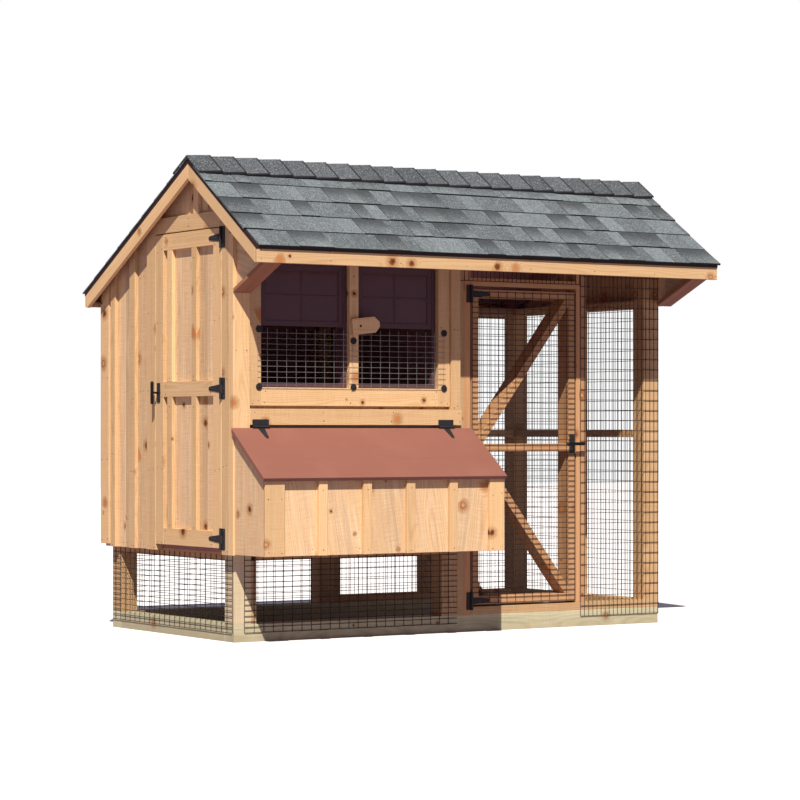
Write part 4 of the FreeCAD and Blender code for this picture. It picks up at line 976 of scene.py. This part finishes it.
for node, openings in sashes.items():
    shape = bmesh.new()
    rim, edge, rebate = sashSettings["frame"], sashSettings["edge"], sashSettings["rebate"]
    halfBar, halfDepth, halfPane = [sashSettings[part] / 2 for part in ("muntin", "barDepth", "glass")]
    for (x0, y0, z0), (x1, y1, z1) in openings:
        middleX, middleY, middleZ = (x0 + x1) / 2, (y0 + y1) / 2, (z0 + z1) / 2
        barFront, barBack = middleY - halfDepth, middleY + halfDepth
        bars = [
            ((x0, y0, z0), (x0 + rim, y1, z1)),
            ((x1 - rim, y0, z0), (x1, y1, z1)),
            ((x0 + rim, y0, z0), (x1 - rim, y1, z0 + rim)),
            ((x0 + rim, y0, z1 - rim), (x1 - rim, y1, z1)),
            ((middleX - halfBar, barFront, z0 + rim), (middleX + halfBar, barBack, z1 - rim)),
            ((x0 + rim, barFront, middleZ - halfBar), (middleX - halfBar, barBack, middleZ + halfBar)),
            ((middleX + halfBar, barFront, middleZ - halfBar), (x1 - rim, barBack, middleZ + halfBar)),
        ]
        for low, high in bars:
            addBlock(shape, low, high, 0, edge)
        inset = rim - rebate
        paneLow = (x0 + inset, middleY - halfPane, z0 + inset)
        paneHigh = (x1 - inset, middleY + halfPane, z1 - inset)
        addBlock(shape, paneLow, paneHigh, 1)
    mesh = bpy.data.meshes.new(node + "Glazed")
    shape.to_mesh(mesh)
    shape.free()
    mesh.materials.append(materials["windowMetal"])
    mesh.materials.append(materials["windowGlass"])
    linkPiece(mesh, nodeBody[node], node)
print("sashes glazed:", len(sashes))


# nail and screw heads

nailSettings = dict(radius=2.6, height=0.8, inset=17, spacing=390, jitter=9, narrowBoard=52, cutShare=0.75,
                    aside=0.3, seed=11)
# node, the axis its face looks along, and the heights of its nail rows (None spreads them along the board)
nailedNodes = {
    "gable_trim": ("x", None), "gable_door_trim": ("x", None), "front_trim": ("y", None),
    "window_casing": ("y", None), "nest_battens": ("y", None), "gable_siding": ("x", (425, 1150, 1700)),
    "gable_door_boards": ("x", (545, 1080, 1240, 1770)), "nest_front": ("y", (425, 690)),
    "fascia_boards": ("y", None),
}


def nailRow(box, axis, heights, rng):
    low, high = box
    face, side, up = (0, 1, 2) if axis == "x" else (1, 0, 2)
    inset, spacing, jitter = mm(nailSettings["inset"]), mm(nailSettings["spacing"]), nailSettings["jitter"]
    upright = high[up] - low[up] > high[side] - low[side]
    long, short = (up, side) if upright else (side, up)
    width = high[short] - low[short]
    # the upper end may be cut to the roof slope, so the last nail keeps clear of it
    end = high[long] - inset - (width * nailSettings["cutShare"] if upright else 0.0)
    start = low[long] + inset
    if heights:
        rows = [mm(z) for z in heights if start < mm(z) < end]
    else:
        count = max(2, round((end - start) / spacing) + 1)
        rows = [start + (end - start) * i / (count - 1) for i in range(count)]
    shares = [0.5] if width < mm(nailSettings["narrowBoard"]) else [inset / width, 1 - inset / width]
    aside = nailSettings["aside"]
    found = []
    for row in rows:
        for share in shares:
            point = [0.0, 0.0, 0.0]
            point[face] = low[face]
            point[long] = row + mm(rng.uniform(-1, 1) * jitter)
            point[short] = low[short] + width * share + mm(rng.uniform(-aside, aside) * jitter)
            found.append(point)
    return found


def headPiece(name, body, heads, look):
    # heads are pairs of a point and the way it faces
    points, facings = zip(*heads)
    seed = bpy.data.meshes.new(name + "Points")
    seed.from_pydata(points, [], [])
    facing = seed.attributes.new("facing", "FLOAT_VECTOR", "POINT")
    facing.data.foreach_set("vector", [c for direction in facings for c in direction])
    values = {"Radius": mm(look["radius"]), "Height": mm(look["height"]),
              "Material": materials["nailIron"]}
    mesh = grow(name, headTree, values, seed)
    bpy.data.meshes.remove(seed)
    linkPiece(mesh, body)


rng = random.Random(nailSettings["seed"])
nailPoints = {}
for node, (axis, heights) in nailedNodes.items():
    for box in solidBoxes(node):
        facing = (-1.0, 0.0, 0.0) if axis == "x" else (0.0, -1.0, 0.0)
        if axis == "y" and box[0][1] > 0.5:
            facing = (0.0, 1.0, 0.0)
            box = (Vector((box[0][0], box[1][1], box[0][2])), Vector((box[1][0], box[1][1] + 0.01, box[1][2])))
        for point in nailRow(box, axis, heights, rng):
            nailPoints.setdefault(nodeBody[node], []).append((point, facing))
for body, heads in nailPoints.items():
    headPiece(body + "Nails", body, heads, nailSettings)
print("nails driven:", sum(len(heads) for heads in nailPoints.values()))

hingeScrews = dict(radius=3.6, height=1.3, gableX=-41, gableJambY=28, gableStrapY=(68, 100, 130, 155),
                   gableStep=38, gableZ=(470, 1157, 1846), runY=-4, runJambX=1284,
                   runStrapX=(1322, 1350, 1376, 1400), runStep=32, runZ=(146, 1622))
westFace, frontFace = (-1, 0, 0), (0, -1, 0)
screwPlaces = {"coop": [], "gable_door": [], "run_door": []}
for z in hingeScrews["gableZ"]:
    x, y, step = hingeScrews["gableX"], hingeScrews["gableJambY"], hingeScrews["gableStep"]
    screwPlaces["coop"] += [(at(x, y, z + rise), westFace) for rise in (-step, 0, step)]
    screwPlaces["gable_door"] += [(at(x, y, z), westFace) for y in hingeScrews["gableStrapY"]]
for z in hingeScrews["runZ"]:
    x, y, step = hingeScrews["runJambX"], hingeScrews["runY"], hingeScrews["runStep"]
    screwPlaces["coop"] += [(at(x, y, z + rise), frontFace) for rise in (-step, 0, step)]
    screwPlaces["run_door"] += [(at(x, y, z), frontFace) for x in hingeScrews["runStrapX"]]
for body, heads in screwPlaces.items():
    headPiece(body + "Screws", body, heads, hingeScrews)
print("hinge screws set")


# floor, light and camera

stageSettings = dict(floorSize=60.0, sunStrength=5.55, sunAngle=0.7, sunColour=(1.0, 0.93, 0.85),
                     travel=(0.357, 0.553, -0.753), skyStrength=0.185, skyColour=(0.94, 0.88, 1.17))
cameraSettings = dict(place=(-7.312, -11.350, 0.958), turn=(90.0, 0.0, -32.77), lens=123.02, sensor=36.0,
                      shiftY=0.040, clipEnd=200.0)

half = stageSettings["floorSize"] / 2
floorMesh = bpy.data.meshes.new("floor")
floorCorners = [(-half, -half, 0), (half, -half, 0), (half, half, 0), (-half, half, 0)]
floorMesh.from_pydata(floorCorners, [], [(0, 1, 2, 3)])
floorMesh.materials.append(floorMaterial())
floor = bpy.data.objects.new("floor", floorMesh)
bpy.context.scene.collection.objects.link(floor)

sunData = bpy.data.lights.new("sun", "SUN")
sunData.energy = stageSettings["sunStrength"]
sunData.angle = math.radians(stageSettings["sunAngle"])
sunData.color = stageSettings["sunColour"]
sun = bpy.data.objects.new("sun", sunData)
sun.rotation_euler = Vector(stageSettings["travel"]).to_track_quat("-Z", "Y").to_euler()
bpy.context.scene.collection.objects.link(sun)

world = bpy.data.worlds.new("sky")
world.use_nodes = True
bpy.context.scene.world = world
sky = world.node_tree
background = sky.nodes["Background"]
seen = addNode(sky, "ShaderNodeLightPath").outputs["Is Camera Ray"]
skyColour = mixColour(sky, seen, colour(*stageSettings["skyColour"]), colour(1.0, 1.0, 1.0))
sky.links.new(skyColour, background.inputs["Color"])
strength = calc(sky, "MULTIPLY_ADD", seen, 1.0 - stageSettings["skyStrength"], stageSettings["skyStrength"])
sky.links.new(strength, background.inputs["Strength"])

cameraData = bpy.data.cameras.new("camera")
cameraData.lens = cameraSettings["lens"]
cameraData.sensor_width = cameraSettings["sensor"]
cameraData.shift_y = cameraSettings["shiftY"]
cameraData.clip_end = cameraSettings["clipEnd"]
camera = bpy.data.objects.new("camera", cameraData)
camera.location = cameraSettings["place"]
camera.rotation_euler = [math.radians(angle) for angle in cameraSettings["turn"]]
bpy.context.scene.collection.objects.link(camera)
bpy.context.scene.camera = camera
bpy.context.scene.view_settings.view_transform = "Standard"
print("stage set")
